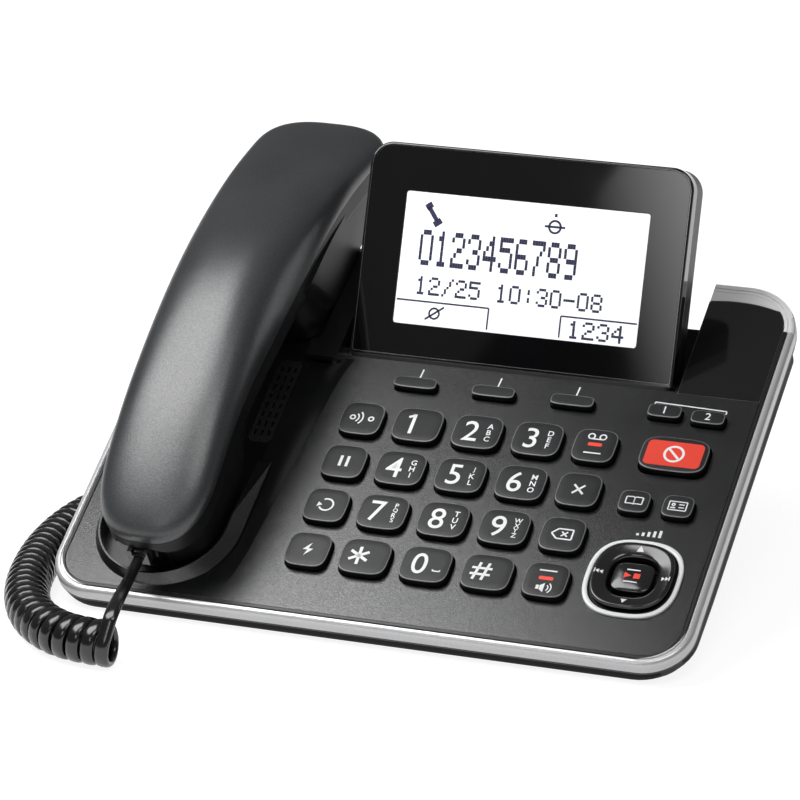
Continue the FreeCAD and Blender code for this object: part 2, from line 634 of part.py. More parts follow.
def make_collar():
    """Raised lip around the mouthpiece: a sloping flank that fades up the slope."""
    foot = rounded_wire(COLLAR_X - COLLAR_RADIUS, COLLAR_X + COLLAR_RADIUS, COLLAR_Y - COLLAR_RADIUS,
                        COLLAR_GONE_AT + 20, [COLLAR_RADIUS - 0.1] * 2 + [8, 8], -WALL)
    crest_radius = WELL_RADIUS + 0.7
    crest = rounded_wire(WELL_X - crest_radius, WELL_X + crest_radius, WELL_Y - crest_radius,
                         COLLAR_GONE_AT + 18, [crest_radius - 0.1] * 2 + [8, 8], COLLAR_RISE)
    foot_face = Part.Face(foot).extrude(Vector(0, 0, WALL))
    foot_top = foot.copy()
    foot_top.translate(Vector(0, 0, WALL))
    flank = Part.makeLoft([foot_top, crest], True, True)
    lip = fuse([foot_face, flank])
    fade = COLLAR_RISE / (COLLAR_GONE_AT - COLLAR_FULL_TO)
    y_end = COLLAR_GONE_AT + 40
    keep = side_slab([(-5, COLLAR_RISE), (COLLAR_FULL_TO, COLLAR_RISE),
                      (y_end, COLLAR_RISE - fade * (y_end - COLLAR_FULL_TO)), (y_end, -30), (-5, -30)],
                     -FAR, 0)
    return lip.common(keep)


def make_upper_case():
    inset = TRIM_WIDTH + SEAT_GAP
    plate = base_body(inset, -WALL, 0)
    skirt = base_body(inset, SKIRT_LOW + 0.8, -WALL)
    skirt = skirt.cut(base_body(inset + WALL, -40, 0))
    walls = base_body(inset + WALL + 0.5, -NOTCH_DEPTH - WALL, -WALL)
    pocket = walls.common(notch_cut(WALL, -NOTCH_DEPTH - WALL, -WALL))
    pan = well_cut(WALL, -WELL_DEPTH - WALL, -WALL).common(base_body(inset, -40, 0))
    under_roll = roll_cut(0).common(box(-FAR, 0, 6, NOTCH_FRONT, -20, 0))
    under_roll.translate(Vector(0, 0, -WALL))
    belly = box(ROLL_EDGE - ROLL_WIDTH - 12, ROLL_EDGE, inset + 2, NOTCH_FRONT - 1, -ROLL_DEPTH - WALL, -WALL)
    belly = belly.common(under_roll)
    case = fuse([plate, skirt, pocket, pan, make_collar(), belly])
    case = case.cut(notch_cut(0, -NOTCH_DEPTH))
    case = case.cut(roll_cut(0).cut(well_cut(0, -WELL_DEPTH)).cut(collar_keep()))
    case = case.cut(well_cut(0, -WELL_DEPTH))
    case = case.cut(make_deck_seat())
    for x, y, size in KEYS.values():
        case = case.cut(key_hole(x, y, size))
    case = case.cut(Part.makeCylinder(NAV_BEZEL_RADIUS, 2, NAV_CENTRE + Vector(0, 0, -1.0)))
    case = case.cut(Part.makeCylinder(ROCKER_ROOM, 20, NAV_CENTRE + Vector(0, 0, -10)))
    case = case.cut(grille_prism(0, -GRILLE_THICK, 1))
    case = case.cut(grille_prism(GRILLE_LEDGE, -WALL - 1, 1))
    case = case.cut(plunger_block(PLUNGER_GAP, 30))
    return case


def collar_keep():
    """Everything inside the collar's own outline, which the roll leaves alone."""
    return make_collar().common(box(-FAR, 0, -5, COLLAR_GONE_AT, 0, 20))


def make_deck_seat():
    seat = base_body(TRIM_WIDTH, -DECK_THICK, 5)
    ear = slab([(NOTCH_RIGHT - 1, NOTCH_FRONT), (BASE_WIDTH / 2, NOTCH_FRONT),
                (BASE_WIDTH / 2, BASE_LENGTH), (NOTCH_RIGHT - 1, BASE_LENGTH)], -5, 5)
    return seat.common(ear)


def grille_prism(shrink, low, high):
    """Upright block on the grille's outline, measured from the cradle floor."""
    half_w = GRILLE_WIDTH / 2 - shrink
    half_l = GRILLE_LENGTH / 2 - shrink
    wire = rounded_wire(GRILLE_X - half_w, GRILLE_X + half_w, GRILLE_Y - half_l, GRILLE_Y + half_l, [2.5] * 4)
    return prism(wire, -WELL_DEPTH + low, -WELL_DEPTH + high)


def plunger_block(gap, above):
    half_w = PLUNGER_WIDTH / 2 + gap
    half_l = PLUNGER_LENGTH / 2 + gap
    return box(PLUNGER_X - half_w, PLUNGER_X + half_w, PLUNGER_Y - half_l, PLUNGER_Y + half_l,
               -WELL_DEPTH - 30, -WELL_DEPTH + above)


def make_grille():
    plate = grille_prism(SEAT_GAP / 2, -GRILLE_THICK, 0)
    slots = []
    for row in range(GRILLE_ROWS):
        for slot in range(GRILLE_SLOTS):
            x = GRILLE_X + (row - (GRILLE_ROWS - 1) / 2) * GRILLE_PITCH_X
            y = GRILLE_Y + (slot - (GRILLE_SLOTS - 1) / 2) * GRILLE_PITCH_Y
            slots.append(box(x - SLOT_WIDTH / 2, x + SLOT_WIDTH / 2, y - SLOT_LENGTH / 2,
                             y + SLOT_LENGTH / 2, -WELL_DEPTH - 5, 0))
    return plate.cut(Part.makeCompound(slots))


def make_plunger():
    half_w = PLUNGER_WIDTH / 2
    half_l = PLUNGER_LENGTH / 2
    top = -WELL_DEPTH
    stem = box(PLUNGER_X - half_w, PLUNGER_X + half_w, PLUNGER_Y - half_l, PLUNGER_Y + half_l, top - 13, top)
    edges = [e for e in stem.Edges if e.BoundBox.ZMin > top - 0.01]
    stem = stem.makeFillet(0.8, edges)
    stop = top - WALL - PLUNGER_TRAVEL - 0.6
    flange = box(PLUNGER_X - half_w - 2, PLUNGER_X + half_w + 2, PLUNGER_Y - half_l - 1,
                 PLUNGER_Y + half_l + 1, stop - 1.2, stop)
    return fuse([stem, flange])


# ---- lower housing, stand and feet ----------------------------------------

_side = BASE_WIDTH / 2 - SCREW_TO_EDGE
_back = BASE_LENGTH - SCREW_TO_EDGE
SCREW_PLACES = [(-_side, SCREW_FRONT), (NAV_X - SCREW_FROM_NAV[0], NAV_Y - SCREW_FROM_NAV[1]),
                (-_side, _back), (_side, _back)]
POST_PLACES = [(x, y) for x in (BOARD_LEFT + POST_RADIUS, BOARD_RIGHT - POST_RADIUS)
               for y in (BOARD_FRONT + POST_RADIUS, BOARD_BACK - POST_RADIUS)]
PAD_TOP = KEY_BASE - KEY_TRAVEL - PAD_GAP
BOARD_TOP = PAD_TOP - PAD_HEIGHT - MAT_THICK
BOARD_LOW = BOARD_TOP - BOARD_THICK
SCREW_SEAT = -16.5
BOSS_MEET = -13.6


def tub(margin, top):
    """Tapered lower housing, drawn in by margin."""
    inset = SKIRT_INSET + margin
    skirt = prism(base_wire(inset), SKIRT_LOW, top)
    mouth = base_wire(inset, SKIRT_LOW)
    floor = base_wire(inset + TUB_TAPER, -TUB_DEPTH + margin)
    return fuse([skirt, Part.makeLoft([mouth, floor], True, True)])


def above_desk(height):
    """Everything higher than this above the desk, in the panel frame."""
    block = box(-FAR, FAR, -FAR, FAR, height, FAR)
    return place(block, FROM_DESK)


def tub_back(height):
    """Where the tub's back wall, from its mouth to its foot, is at a height above the desk."""
    mouth = TO_DESK.multVec(Vector(0, BASE_LENGTH - SKIRT_INSET, SKIRT_LOW))
    foot = TO_DESK.multVec(Vector(0, BASE_LENGTH - SKIRT_INSET - TUB_TAPER, -TUB_DEPTH))
    share = (mouth.z - height) / (mouth.z - foot.z)
    return mouth.y + (foot.y - mouth.y) * min(share, 1)


def rear_socket(x, size, margin=0.0):
    """Level socket in the rear wall, opening to the back."""
    wall = tub_back(SOCKET_HEIGHT)
    half_w = size[0] / 2 + margin
    half_h = size[1] / 2 + margin
    block = box(x - half_w, x + half_w, wall - SOCKET_DEPTH - margin, wall + 12,
                SOCKET_HEIGHT - half_h, SOCKET_HEIGHT + half_h)
    return place(block, FROM_DESK)


def base_jack(margin, depth):
    half_w = JACK_WIDTH / 2 + margin
    half_h = JACK_HEIGHT / 2 + margin
    return box(-BASE_WIDTH / 2 - 5, BASE_JACK_WALL + depth + margin, BASE_JACK_Y - half_w,
               BASE_JACK_Y + half_w, BASE_JACK_Z - half_h, BASE_JACK_Z + half_h)


_draw = TUB_TAPER * (SKIRT_LOW - BASE_JACK_Z) / (TUB_DEPTH + SKIRT_LOW)
BASE_JACK_WALL = -BASE_WIDTH / 2 + SKIRT_INSET + _draw


def make_lower_case():
    outer = tub(0, -TRIM_HEIGHT)
    inner = tub(WALL, 10).common(above_desk(DESK_GAP + WALL))
    case = outer.cut(inner)
    posts = []
    for x, y in SCREW_PLACES:
        posts.append(Part.makeCylinder(POST_RADIUS, 60 + BOSS_MEET, Vector(x, y, -60)))
    for x, y in POST_PLACES:
        posts.append(Part.makeCylinder(BOARD_POST_RADIUS, 60 + BOARD_LOW, Vector(x, y, -60)))
    blocks = [rear_socket(LINE_SOCKET_X, LINE_SOCKET, WALL), rear_socket(POWER_SOCKET_X, POWER_SOCKET, WALL),
              base_jack(1.8, PLUG_LENGTH - BASE_PLUG_OUT + 1)]
    case = fuse([case] + [p.common(outer) for p in posts + blocks])
    case = case.cut(notch_cut(WALL + 0.6, -NOTCH_DEPTH - WALL - SEAT_GAP))
    case = case.cut(rear_socket(LINE_SOCKET_X, LINE_SOCKET))
    entry = Vector(POWER_SOCKET_X, tub_back(SOCKET_HEIGHT) - SOCKET_DEPTH, SOCKET_HEIGHT)
    power = Part.makeCylinder(POWER_BORE, 40, entry, Vector(0, 1, 0))
    case = case.cut(place(power, FROM_DESK))
    case = case.cut(base_jack(0, PLUG_LENGTH - BASE_PLUG_OUT + 0.3))
    for x, y in SCREW_PLACES:
        case = case.cut(Part.makeCylinder(SCREW_RADIUS + 0.4, 60 + SCREW_SEAT, Vector(x, y, -60)))
        case = case.cut(Part.makeCylinder(1.7, 20, Vector(x, y, SCREW_SEAT)))
    case = case.common(above_desk(DESK_GAP))
    for x, y in FRONT_FEET:
        case = case.cut(place(foot_seat(x, y), FROM_DESK))
    return case


STAND_BACK = tub_back(0) + HALF_DEPTH - STAND_MARGIN
_front_x = BASE_WIDTH / 2 - FOOT_TO_EDGE
_rear_x = STAND_HALF_WIDTH - STAND_FOOT_INSET[0]
_rear_y = STAND_BACK - STAND_FOOT_INSET[1] - HALF_DEPTH
FRONT_FEET = [(-_front_x, FRONT_FOOT_Y - HALF_DEPTH), (_front_x, FRONT_FOOT_Y - HALF_DEPTH)]
REAR_FEET = [(-_rear_x, _rear_y), (_rear_x, _rear_y)]


def foot_seat(x, y):
    return Part.makeCylinder(FOOT_RADIUS + SEAT_GAP, 5, Vector(x, y, DESK_GAP + FOOT_RECESS - 5))


def make_feet():
    feet = []
    for x, y in FRONT_FEET + REAR_FEET:
        foot = Part.makeCylinder(FOOT_RADIUS, DESK_GAP + FOOT_RECESS, Vector(x, y, 0))
        rim = [e for e in foot.Edges if e.BoundBox.ZMax < 0.01]
        feet.append(foot.makeChamfer(0.5, rim))
    return Part.makeCompound(feet)


def underside(y_from_front):
    """Height of the base's sloping underside above the desk."""
    slope = math.radians(SLOPE)
    return FRONT_LIFT + y_from_front * math.tan(slope) - TUB_DEPTH / math.cos(slope)


def make_stand():
    """Hollow wedge that clips under the back of the base; open towards the desk."""
    y0 = STAND_FRONT
    y1 = STAND_BACK

    def wedge(margin, low):
        a = y0 + margin
        b = y1 - margin
        drop = margin / math.cos(math.radians(SLOPE)) if margin else 0
        points = [(a, underside(a) - drop), (a + 9, low), (b - 3, low), (b, underside(b) - drop)]
        half = STAND_HALF_WIDTH - margin
        return side_slab([(y - HALF_DEPTH, z) for y, z in points], -half, half)

    outer = wedge(0, DESK_GAP)
    upright = [e for e in outer.Edges
               if abs(abs(e.CenterOfMass.x) - STAND_HALF_WIDTH) < 0.1 and e.BoundBox.ZLength > 10
               and e.BoundBox.YLength < 10]
    outer = outer.makeFillet(5.0, upright)
    shell = outer.cut(wedge(WALL + 0.2, DESK_GAP - 3))
    pads = []
    for x, y in REAR_FEET:
        side = 1 if x > 0 else -1
        reach = side * STAND_HALF_WIDTH - x
        x0, x1 = sorted((x - side * 8, x + reach - side * 1))
        pads.append(box(x0, x1, y - 8, y + 7, DESK_GAP, DESK_GAP + 3))
    shell = fuse([shell] + [p.common(outer) for p in pads])
    for x, y in REAR_FEET:
        shell = shell.cut(foot_seat(x, y))
    return solid_of(shell)


def make_screws():
    screws = []
    for x, y in SCREW_PLACES:
        head = Part.makeCylinder(SCREW_RADIUS, 2.4, Vector(x, y, SCREW_SEAT - 2.4))
        cross = [box(x - 1.8, x + 1.8, y - 0.4, y + 0.4, SCREW_SEAT - 3, SCREW_SEAT - 1.4),
                 box(x - 0.4, x + 0.4, y - 1.8, y + 1.8, SCREW_SEAT - 3, SCREW_SEAT - 1.4)]
        shank = Part.makeCylinder(SCREW_BORE, SCREW_LENGTH - 4, Vector(x, y, SCREW_SEAT))
        screws.append(fuse([head.cut(Part.makeCompound(cross)), shank]))
    return Part.makeCompound(screws)


def screw_posts():
    """Posts under the upper case that the screws bite into."""
    posts = []
    for x, y in SCREW_PLACES:
        post = Part.makeCylinder(POST_RADIUS - 0.8, -WALL - BOSS_MEET, Vector(x, y, BOSS_MEET))
        bore = Part.makeCylinder(SCREW_BORE, SCREW_LENGTH, Vector(x, y, SCREW_SEAT))
        posts.append(post.cut(bore).cut(well_cut(0, -WELL_DEPTH)))
    return posts


# ---- inside ---------------------------------------------------------------


def board_outline(z0, z1, shrink=0.0):
    """Rectangle under the keypad with a hole for the screw post that passes through it."""
    sheet = box(BOARD_LEFT + shrink, BOARD_RIGHT - shrink, BOARD_FRONT + shrink, BOARD_BACK - shrink, z0, z1)
    x, y = SCREW_PLACES[1]
    return sheet.cut(Part.makeCylinder(POST_RADIUS + 0.6, z1 - z0, Vector(x, y, z0)))


def make_board():
    board = board_outline(BOARD_LOW, BOARD_TOP)
    x = BOARD_LEFT
    y = BOARD_BACK
    chips = [box(x + 43, x + 59, y - 17, y - 1, BOARD_LOW - 2, BOARD_LOW),
             box(x + 83, x + 93, y - 73, y - 57, BOARD_LOW - 1.6, BOARD_LOW),
             Part.makeCylinder(4, 11, Vector(x + 113, y - 63, BOARD_LOW - 11)),
             Part.makeCylinder(4, 11, Vector(x + 113, y - 51, BOARD_LOW - 11))]
    return fuse([board] + chips)


def make_mat():
    sheet = board_outline(BOARD_TOP, BOARD_TOP + MAT_THICK, 0.5)
    pads = [box(x - 2.5, x + 2.5, y - 1.6, y + 1.6, BOARD_TOP + MAT_THICK, PAD_TOP)
            for x, y, _ in list(KEYS.values()) + [(NAV_X, NAV_Y, None)]]
    return fuse([sheet] + pads)


def make_speaker():
    """Round driver: rim, cone basket and magnet."""
    seat = -WELL_DEPTH - WALL
    r = SPEAKER_RADIUS
    profile = [(0, seat - 5), (6, seat - 5), (r - 3, seat - 1.2), (r - 3, seat), (r, seat), (r, seat - 2),
               (r - 2, seat - 2.4), (9.5, seat - 8), (9.5, seat - SPEAKER_DEPTH), (0, seat - SPEAKER_DEPTH)]
    corners = [Vector(a, 0, z) for a, z in profile]
    face = Part.Face(Part.makePolygon(corners + corners[:1]))
    body = face.revolve(Vector(0, 0, 0), Vector(0, 0, 1), 360)
    body.translate(Vector(SPEAKER_X, SPEAKER_Y, 0))
    return body


# ---- display --------------------------------------------------------------


def display_profile():
    """Side view of the display: flat face and back on a round hinge barrel."""
    x = DISPLAY_LEFT
    top = DISPLAY_HEIGHT
    face_foot = Vector(x, PIVOT_S, 0)
    low = Vector(x, PIVOT_S - BARREL_RADIUS, -PIVOT_DEPTH)
    back_foot = Vector(x, PIVOT_S, -PIVOT_DEPTH - BARREL_RADIUS)
    ramp = Vector(x, PIVOT_S + 16, -DISPLAY_THICK)
    path = [back_foot, ramp, Vector(x, top, -DISPLAY_THICK), Vector(x, top, 0), face_foot]
    edges = [Part.LineSegment(a, b).toShape() for a, b in zip(path, path[1:])]
    edges.append(Part.Arc(face_foot, low, back_foot).toShape())
    face = Part.Face(Part.Wire(Part.__sortEdges__(edges)))
    return face.extrude(Vector(DISPLAY_RIGHT - DISPLAY_LEFT, 0, 0))


def display_plan(inset, low, high, foot=-30.0):
    r = DISPLAY_CORNER - inset
    wire = rounded_wire(DISPLAY_LEFT + inset, DISPLAY_RIGHT - inset, foot, DISPLAY_HEIGHT - inset,
                        [1.0, 1.0, r, r])
    return prism(wire, low, high)


BEZEL_FOOT = 0.6
LENS_FOOT = BEZEL_FOOT + BEZEL_EDGE


def pin_bores():
    """Blind bores in the display's two sides, at the pivot of its own frame."""
    bores = []
    for x in (DISPLAY_LEFT, DISPLAY_RIGHT - PIN_IN_DISPLAY):
        start = Vector(x, PIVOT_S, -PIVOT_DEPTH)
        bores.append(Part.makeCylinder(PIN_RADIUS + PIN_CLEARANCE, PIN_IN_DISPLAY, start, Vector(1, 0, 0)))
    return bores


def make_display():
    whole = display_profile().common(display_plan(0, -DISPLAY_THICK - 5, 1))
    front_zone = box(-FAR, FAR, BEZEL_FOOT, FAR, -BEZEL_DEPTH, 5)
    bezel = whole.common(front_zone)
    back = whole.cut(front_zone)
    rim = [e for e in bezel.Edges if e.BoundBox.ZMin > -0.01 and e.BoundBox.YMax > 3]
    bezel = bezel.makeFillet(0.8, rim)
    lens_low = -LENS_SINK - LENS_THICK
    bezel = bezel.cut(display_plan(BEZEL_EDGE, lens_low, 1, LENS_FOOT))
    window = (LCD_LEFT, LCD_RIGHT, LCD_LOW, LCD_HIGH)
    gap = 0.15
    hole = rounded_wire(window[0] - gap, window[1] + gap, window[2] - gap, window[3] + gap, [1.2] * 4)
    bezel = bezel.cut(prism(hole, -20, 5))
    lens = display_plan(BEZEL_EDGE + 0.1, lens_low, -LENS_SINK, LENS_FOOT + 0.1)
    lens = lens.cut(prism(hole, -20, 5))
    lcd = prism(rounded_wire(*window, [1.0] * 4), -LENS_SINK - 0.25 - LCD_THICK, -LENS_SINK - 0.25)
    rear = [e for e in back.Edges
            if e.BoundBox.ZMax < -DISPLAY_THICK + 0.01 and e.BoundBox.YMin > PIVOT_S + 20]
    back = back.makeFillet(3.0, rear)
    back = back.cut(Part.makeCompound(pin_bores()))
    pins = []
    left_reach = NOTCH_LEFT - WALL
    right_reach = NOTCH_RIGHT + WALL
    spans = ((left_reach, DISPLAY_LEFT + PIN_IN_DISPLAY), (DISPLAY_RIGHT - PIN_IN_DISPLAY, right_reach))
    for x0, x1 in spans:
        pins.append(Part.makeCylinder(PIN_RADIUS, x1 - x0, Vector(x0, PIVOT_Y, PIVOT_Z), Vector(1, 0, 0)))
    return {"display_bezel": in_display(bezel), "display_lens": in_display(lens),
            "lcd_panel": in_display(lcd), "display_back": in_display(back),
            "hinge_pins": Part.makeCompound(pins)}


def pin_bosses():
    """Bored bosses on the pocket's side walls that carry the hinge pins."""
    bosses = []
    gap = 0.3
    for x0, x1 in ((NOTCH_LEFT - WALL, DISPLAY_LEFT - gap), (DISPLAY_RIGHT + gap, NOTCH_RIGHT + WALL)):
        start = Vector(x0, PIVOT_Y, PIVOT_Z)
        bosses.append(Part.makeCylinder(PIN_BOSS_RADIUS, x1 - x0, start, Vector(1, 0, 0)))
    return bosses


def pin_holes():
    length = NOTCH_RIGHT - NOTCH_LEFT + 2 * WALL + 2
    start = Vector(NOTCH_LEFT - WALL - 1, PIVOT_Y, PIVOT_Z)
    return Part.makeCylinder(PIN_RADIUS + PIN_CLEARANCE, length, start, Vector(1, 0, 0))


# ---- handset --------------------------------------------------------------


def curve_through(values, share):
    """Smooth value at share 0..1 of evenly spaced values."""
    spans = len(values) - 1
    place_on = min(max(share * spans, 0), spans)
    i = min(int(place_on), spans - 1)
    t = place_on - i

    def slope(k):
        if k == 0:
            return values[1] - values[0]
        if k == spans:
            return values[-1] - values[-2]
        return (values[k + 1] - values[k - 1]) / 2

    a, b = values[i], values[i + 1]
    ma, mb = slope(i), slope(i + 1)
    return (a * (1 + 2 * t) * (1 - t) ** 2 + ma * t * (1 - t) ** 2
            + b * t * t * (3 - 2 * t) - mb * t * t * (1 - t))


def handset_share(y):
    """Share of the handset's length, from the mouthpiece end."""
    return (y - HANDSET_FRONT) / (HANDSET_BACK - HANDSET_FRONT)


def seam_height(y):
    return curve_through(HANDSET_SEAM, handset_share(y))


def handset_stations():
    """(y, share of full width) from the mouthpiece end to the earpiece end."""
    angles = [math.radians(a) for a in (83, 72, 58, 42, 24)]
    stations = []
    for a in angles:
        stations.append((HANDSET_FRONT + FRONT_ROUND * (1 - math.sin(a) ** (2 / FRONT_POWER)),
                         math.cos(a) ** (2 / FRONT_POWER)))
    start = HANDSET_FRONT + FRONT_ROUND
    finish = HANDSET_BACK - BACK_ROUND
    count = 15
    for n in range(count + 1):
        stations.append((start + (finish - start) * n / count, 1.0))
    for a in reversed(angles):
        stations.append((HANDSET_BACK - BACK_ROUND * (1 - math.sin(a) ** (2 / BACK_POWER)),
                         math.cos(a) ** (2 / BACK_POWER)))
    return stations


def upper_section(y, width_share):
    """Section of the upper shell: flat on the seam and arched above it."""
    share = handset_share(y)
    half = curve_through(HANDSET_HALF_WIDTHS, share) * width_share
    rise = curve_through(HANDSET_CROWN, share) * width_share ** END_CLOSE
    power = SHELL_POWER[0] + (SHELL_POWER[1] - SHELL_POWER[0]) * share
    points = []
    steps = 12
    for n in range(steps + 1):
        a = math.pi * n / steps
        side = math.copysign(abs(math.cos(a)) ** (2 / power), math.cos(a))
        points.append(Vector(HANDSET_X + half * side, y, seam_height(y) + rise * math.sin(a) ** (2 / power)))
    curve = Part.BSplineCurve()
    curve.interpolate(points)
    return Part.Wire([curve.toShape(), Part.LineSegment(points[-1], points[0]).toShape()])


def tray_section(y, width_share):
    """Section of the lower shell: side walls that lean in, round corners and a flat underside."""
    half = (curve_through(HANDSET_HALF_WIDTHS, handset_share(y)) - SEAM_INSET) * width_share
    top = seam_height(y) - SEAM_GAP
    low = top - TRAY_DEPTH * width_share ** END_CLOSE
    radius = TRAY_ROUND * width_share
    foot = half - TRAY_DRAFT * width_share
    mid = radius * (1 - math.sqrt(0.5))

    def points(side):
        marks = [(half, top), (foot, low + radius), (foot - mid, low + mid), (foot - radius, low)]
        return [Vector(HANDSET_X + side * x, y, z) for x, z in marks]

    a, b, c, d = points(1)
    e, f, g, h = points(-1)
    corners = [(a, b), (d, h), (f, e), (e, a)]
    lines = [Part.LineSegment(p, q).toShape() for p, q in corners]
    arcs = [Part.Arc(b, c, d).toShape(), Part.Arc(h, g, f).toShape()]
    return Part.Wire([lines[0], arcs[0], lines[1], arcs[1], lines[2], lines[3]])


def under_tray():
    """Everything below the middle of the tray's side walls."""
    count = 24
    places = [HANDSET_FRONT + (HANDSET_BACK - HANDSET_FRONT) * n / count for n in range(count + 1)]
    points = [(y, seam_height(y) - TRAY_DEPTH / 2) for y in places]
    return side_slab(points + [(HANDSET_BACK, -FAR), (HANDSET_FRONT, -FAR)], -FAR, FAR)


def cup(foot, head, rest):
    """Tapered cup under the tray, from (half width, front, back) at rest to the same at CUP_HEAD."""
    wires = []
    for (half, front, back), z in ((foot, rest), (head, CUP_HEAD)):
        radii = [CUP_CORNER, CUP_CORNER, CUP_CORNER / 2, CUP_CORNER / 2]
        wires.append(rounded_wire(HANDSET_X - half, HANDSET_X + half, front, back, radii, z))
    return Part.makeLoft(wires, True, True).common(under_tray())


def behind_well(size):
    """(half width, front, back) from distances ahead of the cradle's back."""
    half, front, back = size
    return half, WELL_BACK - front, WELL_BACK - back


def turn_handset(shape):
    centre = Vector(HANDSET_X, HANDSET_MID_Y, 0)
    turned = shape.copy()
    turned.rotate(centre, Vector(0, 0, 1), -HANDSET_TURN)
    return turned


def cap_disc(y, thick, extra=0.0):
    return Part.makeCylinder(CAP_RADIUS + extra, thick, Vector(HANDSET_X, y, -WELL_DEPTH + CUP_GAP))


def plug_block(margin, deeper=0.0):
    x = HANDSET_X + PLUG_SIDE
    return box(x - PLUG_WIDTH / 2 - margin, x + PLUG_WIDTH / 2 + margin, PLUG_FACE - (20 if margin else 0),
               PLUG_FACE + PLUG_LENGTH + deeper, PLUG_Z - PLUG_HEIGHT / 2 - margin,
               PLUG_Z + PLUG_HEIGHT / 2 + margin)


def cord_recess():
    """Room round the plug under the lip of the mouthpiece end."""
    x = HANDSET_X + PLUG_SIDE
    left, right = RECESS_SIDES
    return box(x - left, x + right, -FAR, HANDSET_FRONT + RECESS_DEPTH, -FAR, PLUG_Z + RECESS_LIP)


def recess_ribs():
    """Two thin guides beside the plug, on the recess's roof and back wall."""
    ribs = []
    back = HANDSET_FRONT + RECESS_DEPTH
    roof = PLUG_Z + RECESS_LIP
    for side in (-1, 1):
        x = HANDSET_X + PLUG_SIDE + side * (PLUG_WIDTH / 2 + RIB_OUT)
        ribs.append(box(x - RIB_THICK / 2, x + RIB_THICK / 2, back - RIB_LENGTH, back + 0.5,
                        PLUG_Z - PLUG_HEIGHT / 2, roof + 0.2))
    return ribs


def make_handset():
    stations = handset_stations()
    upper = Part.makeLoft([upper_section(y, w) for y, w in stations], True, False)
    tray = Part.makeLoft([tray_section(y, w) for y, w in stations], True, False)
    rest = -WELL_DEPTH + CUP_GAP
    cups = [cup(MOUTH_CUP_FOOT, MOUTH_CUP_HEAD, rest),
            cup(behind_well(EAR_CUP_FOOT), behind_well(EAR_CUP_HEAD), rest),
            cup(behind_well(OVERHANG_FOOT), behind_well(EAR_CUP_HEAD), OVERHANG_GAP)]
    lower = fuse([tray] + cups)
    lower = fuse([lower.cut(cord_recess())] + recess_ribs())
    for y in (MOUTH_CAP_Y, EAR_Y):
        lower = lower.cut(cap_disc(y, CAP_THICK, 0.1))
    lower = solid_of(lower.cut(plug_block(PLUG_FIT, PLUG_FIT)))
    caps = []
    for y in (MOUTH_CAP_Y, EAR_Y):
        cap = cap_disc(y, CAP_THICK)
        holes = [Part.makeCylinder(CAP_HOLE / 2, 9, Vector(HANDSET_X, y, rest - 3))]
        for n in range(6):
            a = math.radians(60 * n)
            centre = Vector(HANDSET_X + 5 * math.cos(a), y + 5 * math.sin(a), rest - 3)
            holes.append(Part.makeCylinder(CAP_HOLE / 2, 9, centre))
        caps.append(cap.cut(Part.makeCompound(holes)))
    plug = modular_plug()
    return {"handset_upper_shell": turn_handset(upper), "handset_lower_shell": turn_handset(lower),
            "ear_and_mouth_caps": turn_handset(Part.makeCompound(caps)),
            "handset_plug": turn_handset(plug)}


def modular_plug():
    """Clear four-way plug lying along y, with its latch above and contact grooves below."""
    body = plug_block(0)
    x = HANDSET_X + PLUG_SIDE
    top = PLUG_Z + PLUG_HEIGHT / 2
    latch = box(x - 1.6, x + 1.6, PLUG_FACE + 1.0, PLUG_FACE + PLUG_LENGTH - 1, top - 1.6, top - 0.6)
    body = body.cut(box(x - 2.2, x + 2.2, PLUG_FACE - 1, PLUG_FACE + PLUG_LENGTH - 1.5, top - 2.2, top + 1))
    grooves = []
    for n in range(4):
        gx = x + (n - 1.5) * 1.02
        grooves.append(box(gx - 0.25, gx + 0.25, PLUG_FACE + PLUG_LENGTH - 4, PLUG_FACE + PLUG_LENGTH + 1,
                           PLUG_Z - PLUG_HEIGHT / 2 - 1, PLUG_Z - PLUG_HEIGHT / 2 + 0.8))
    body = body.cut(Part.makeCompound(grooves))
    nose = PLUG_FACE + PLUG_LENGTH
    hinge = box(x - 1.6, x + 1.6, nose - 1.6, nose, top - 2.6, top - 0.6)
    return fuse([body, latch, hinge])


def make_base_plug():
    """The same plug in the base's left wall, facing left."""
    plug = modular_plug()
    face = Vector(HANDSET_X + PLUG_SIDE, PLUG_FACE, PLUG_Z)
    plug.translate(face * -1)
    plug.rotate(Vector(0, 0, 0), Vector(0, 0, 1), -90)
    plug.translate(Vector(BASE_JACK_WALL - BASE_PLUG_OUT, BASE_JACK_Y, BASE_JACK_Z))
    return plug


# ---- cord -----------------------------------------------------------------


def on_desk(x, y_from_front, z):
    return Vector(x, y_from_front - HALF_DEPTH, z)


def cord_tube(points, diameter):
    """Round tube on straight runs joined by the largest tangent arcs that fit."""
    runs = [b - a for a, b in zip(points, points[1:])]
    edges = []
    radii = []
    last = points[0]
    length = 0.0
    for corner, before, after in zip(points[1:], runs, runs[1:]):
        turn = before.getAngle(after)
        cut = 0.45 * min(before.Length, after.Length)
        radius = cut / math.tan(turn / 2)
        into = Vector(before).normalize()
        out = Vector(after).normalize()
        start = corner - into * cut
        end = corner + out * cut
        bisector = (out - into).normalize()
        middle = corner + bisector * (radius / math.cos(turn / 2) - radius)
        edges.append(Part.LineSegment(last, start).toShape())
        edges.append(Part.Arc(start, middle, end).toShape())
        length += (start - last).Length + radius * turn
        radii.append(radius)
        last = end
    edges.append(Part.LineSegment(last, points[-1]).toShape())
    length += (points[-1] - last).Length
    path = Part.Wire(edges)
    ring_edge = Part.Edge(Part.Circle(points[0], Vector(runs[0]).normalize(), diameter / 2))
    tube = path.makePipeShell([Part.Wire([ring_edge])], True, False)
    share = tube.Volume / (math.pi * diameter ** 2 / 4 * length)
    print("cord length %.1f, radii %s, volume share %.4f"
          % (length, " ".join("%.0f" % r for r in radii), share))
    return tube


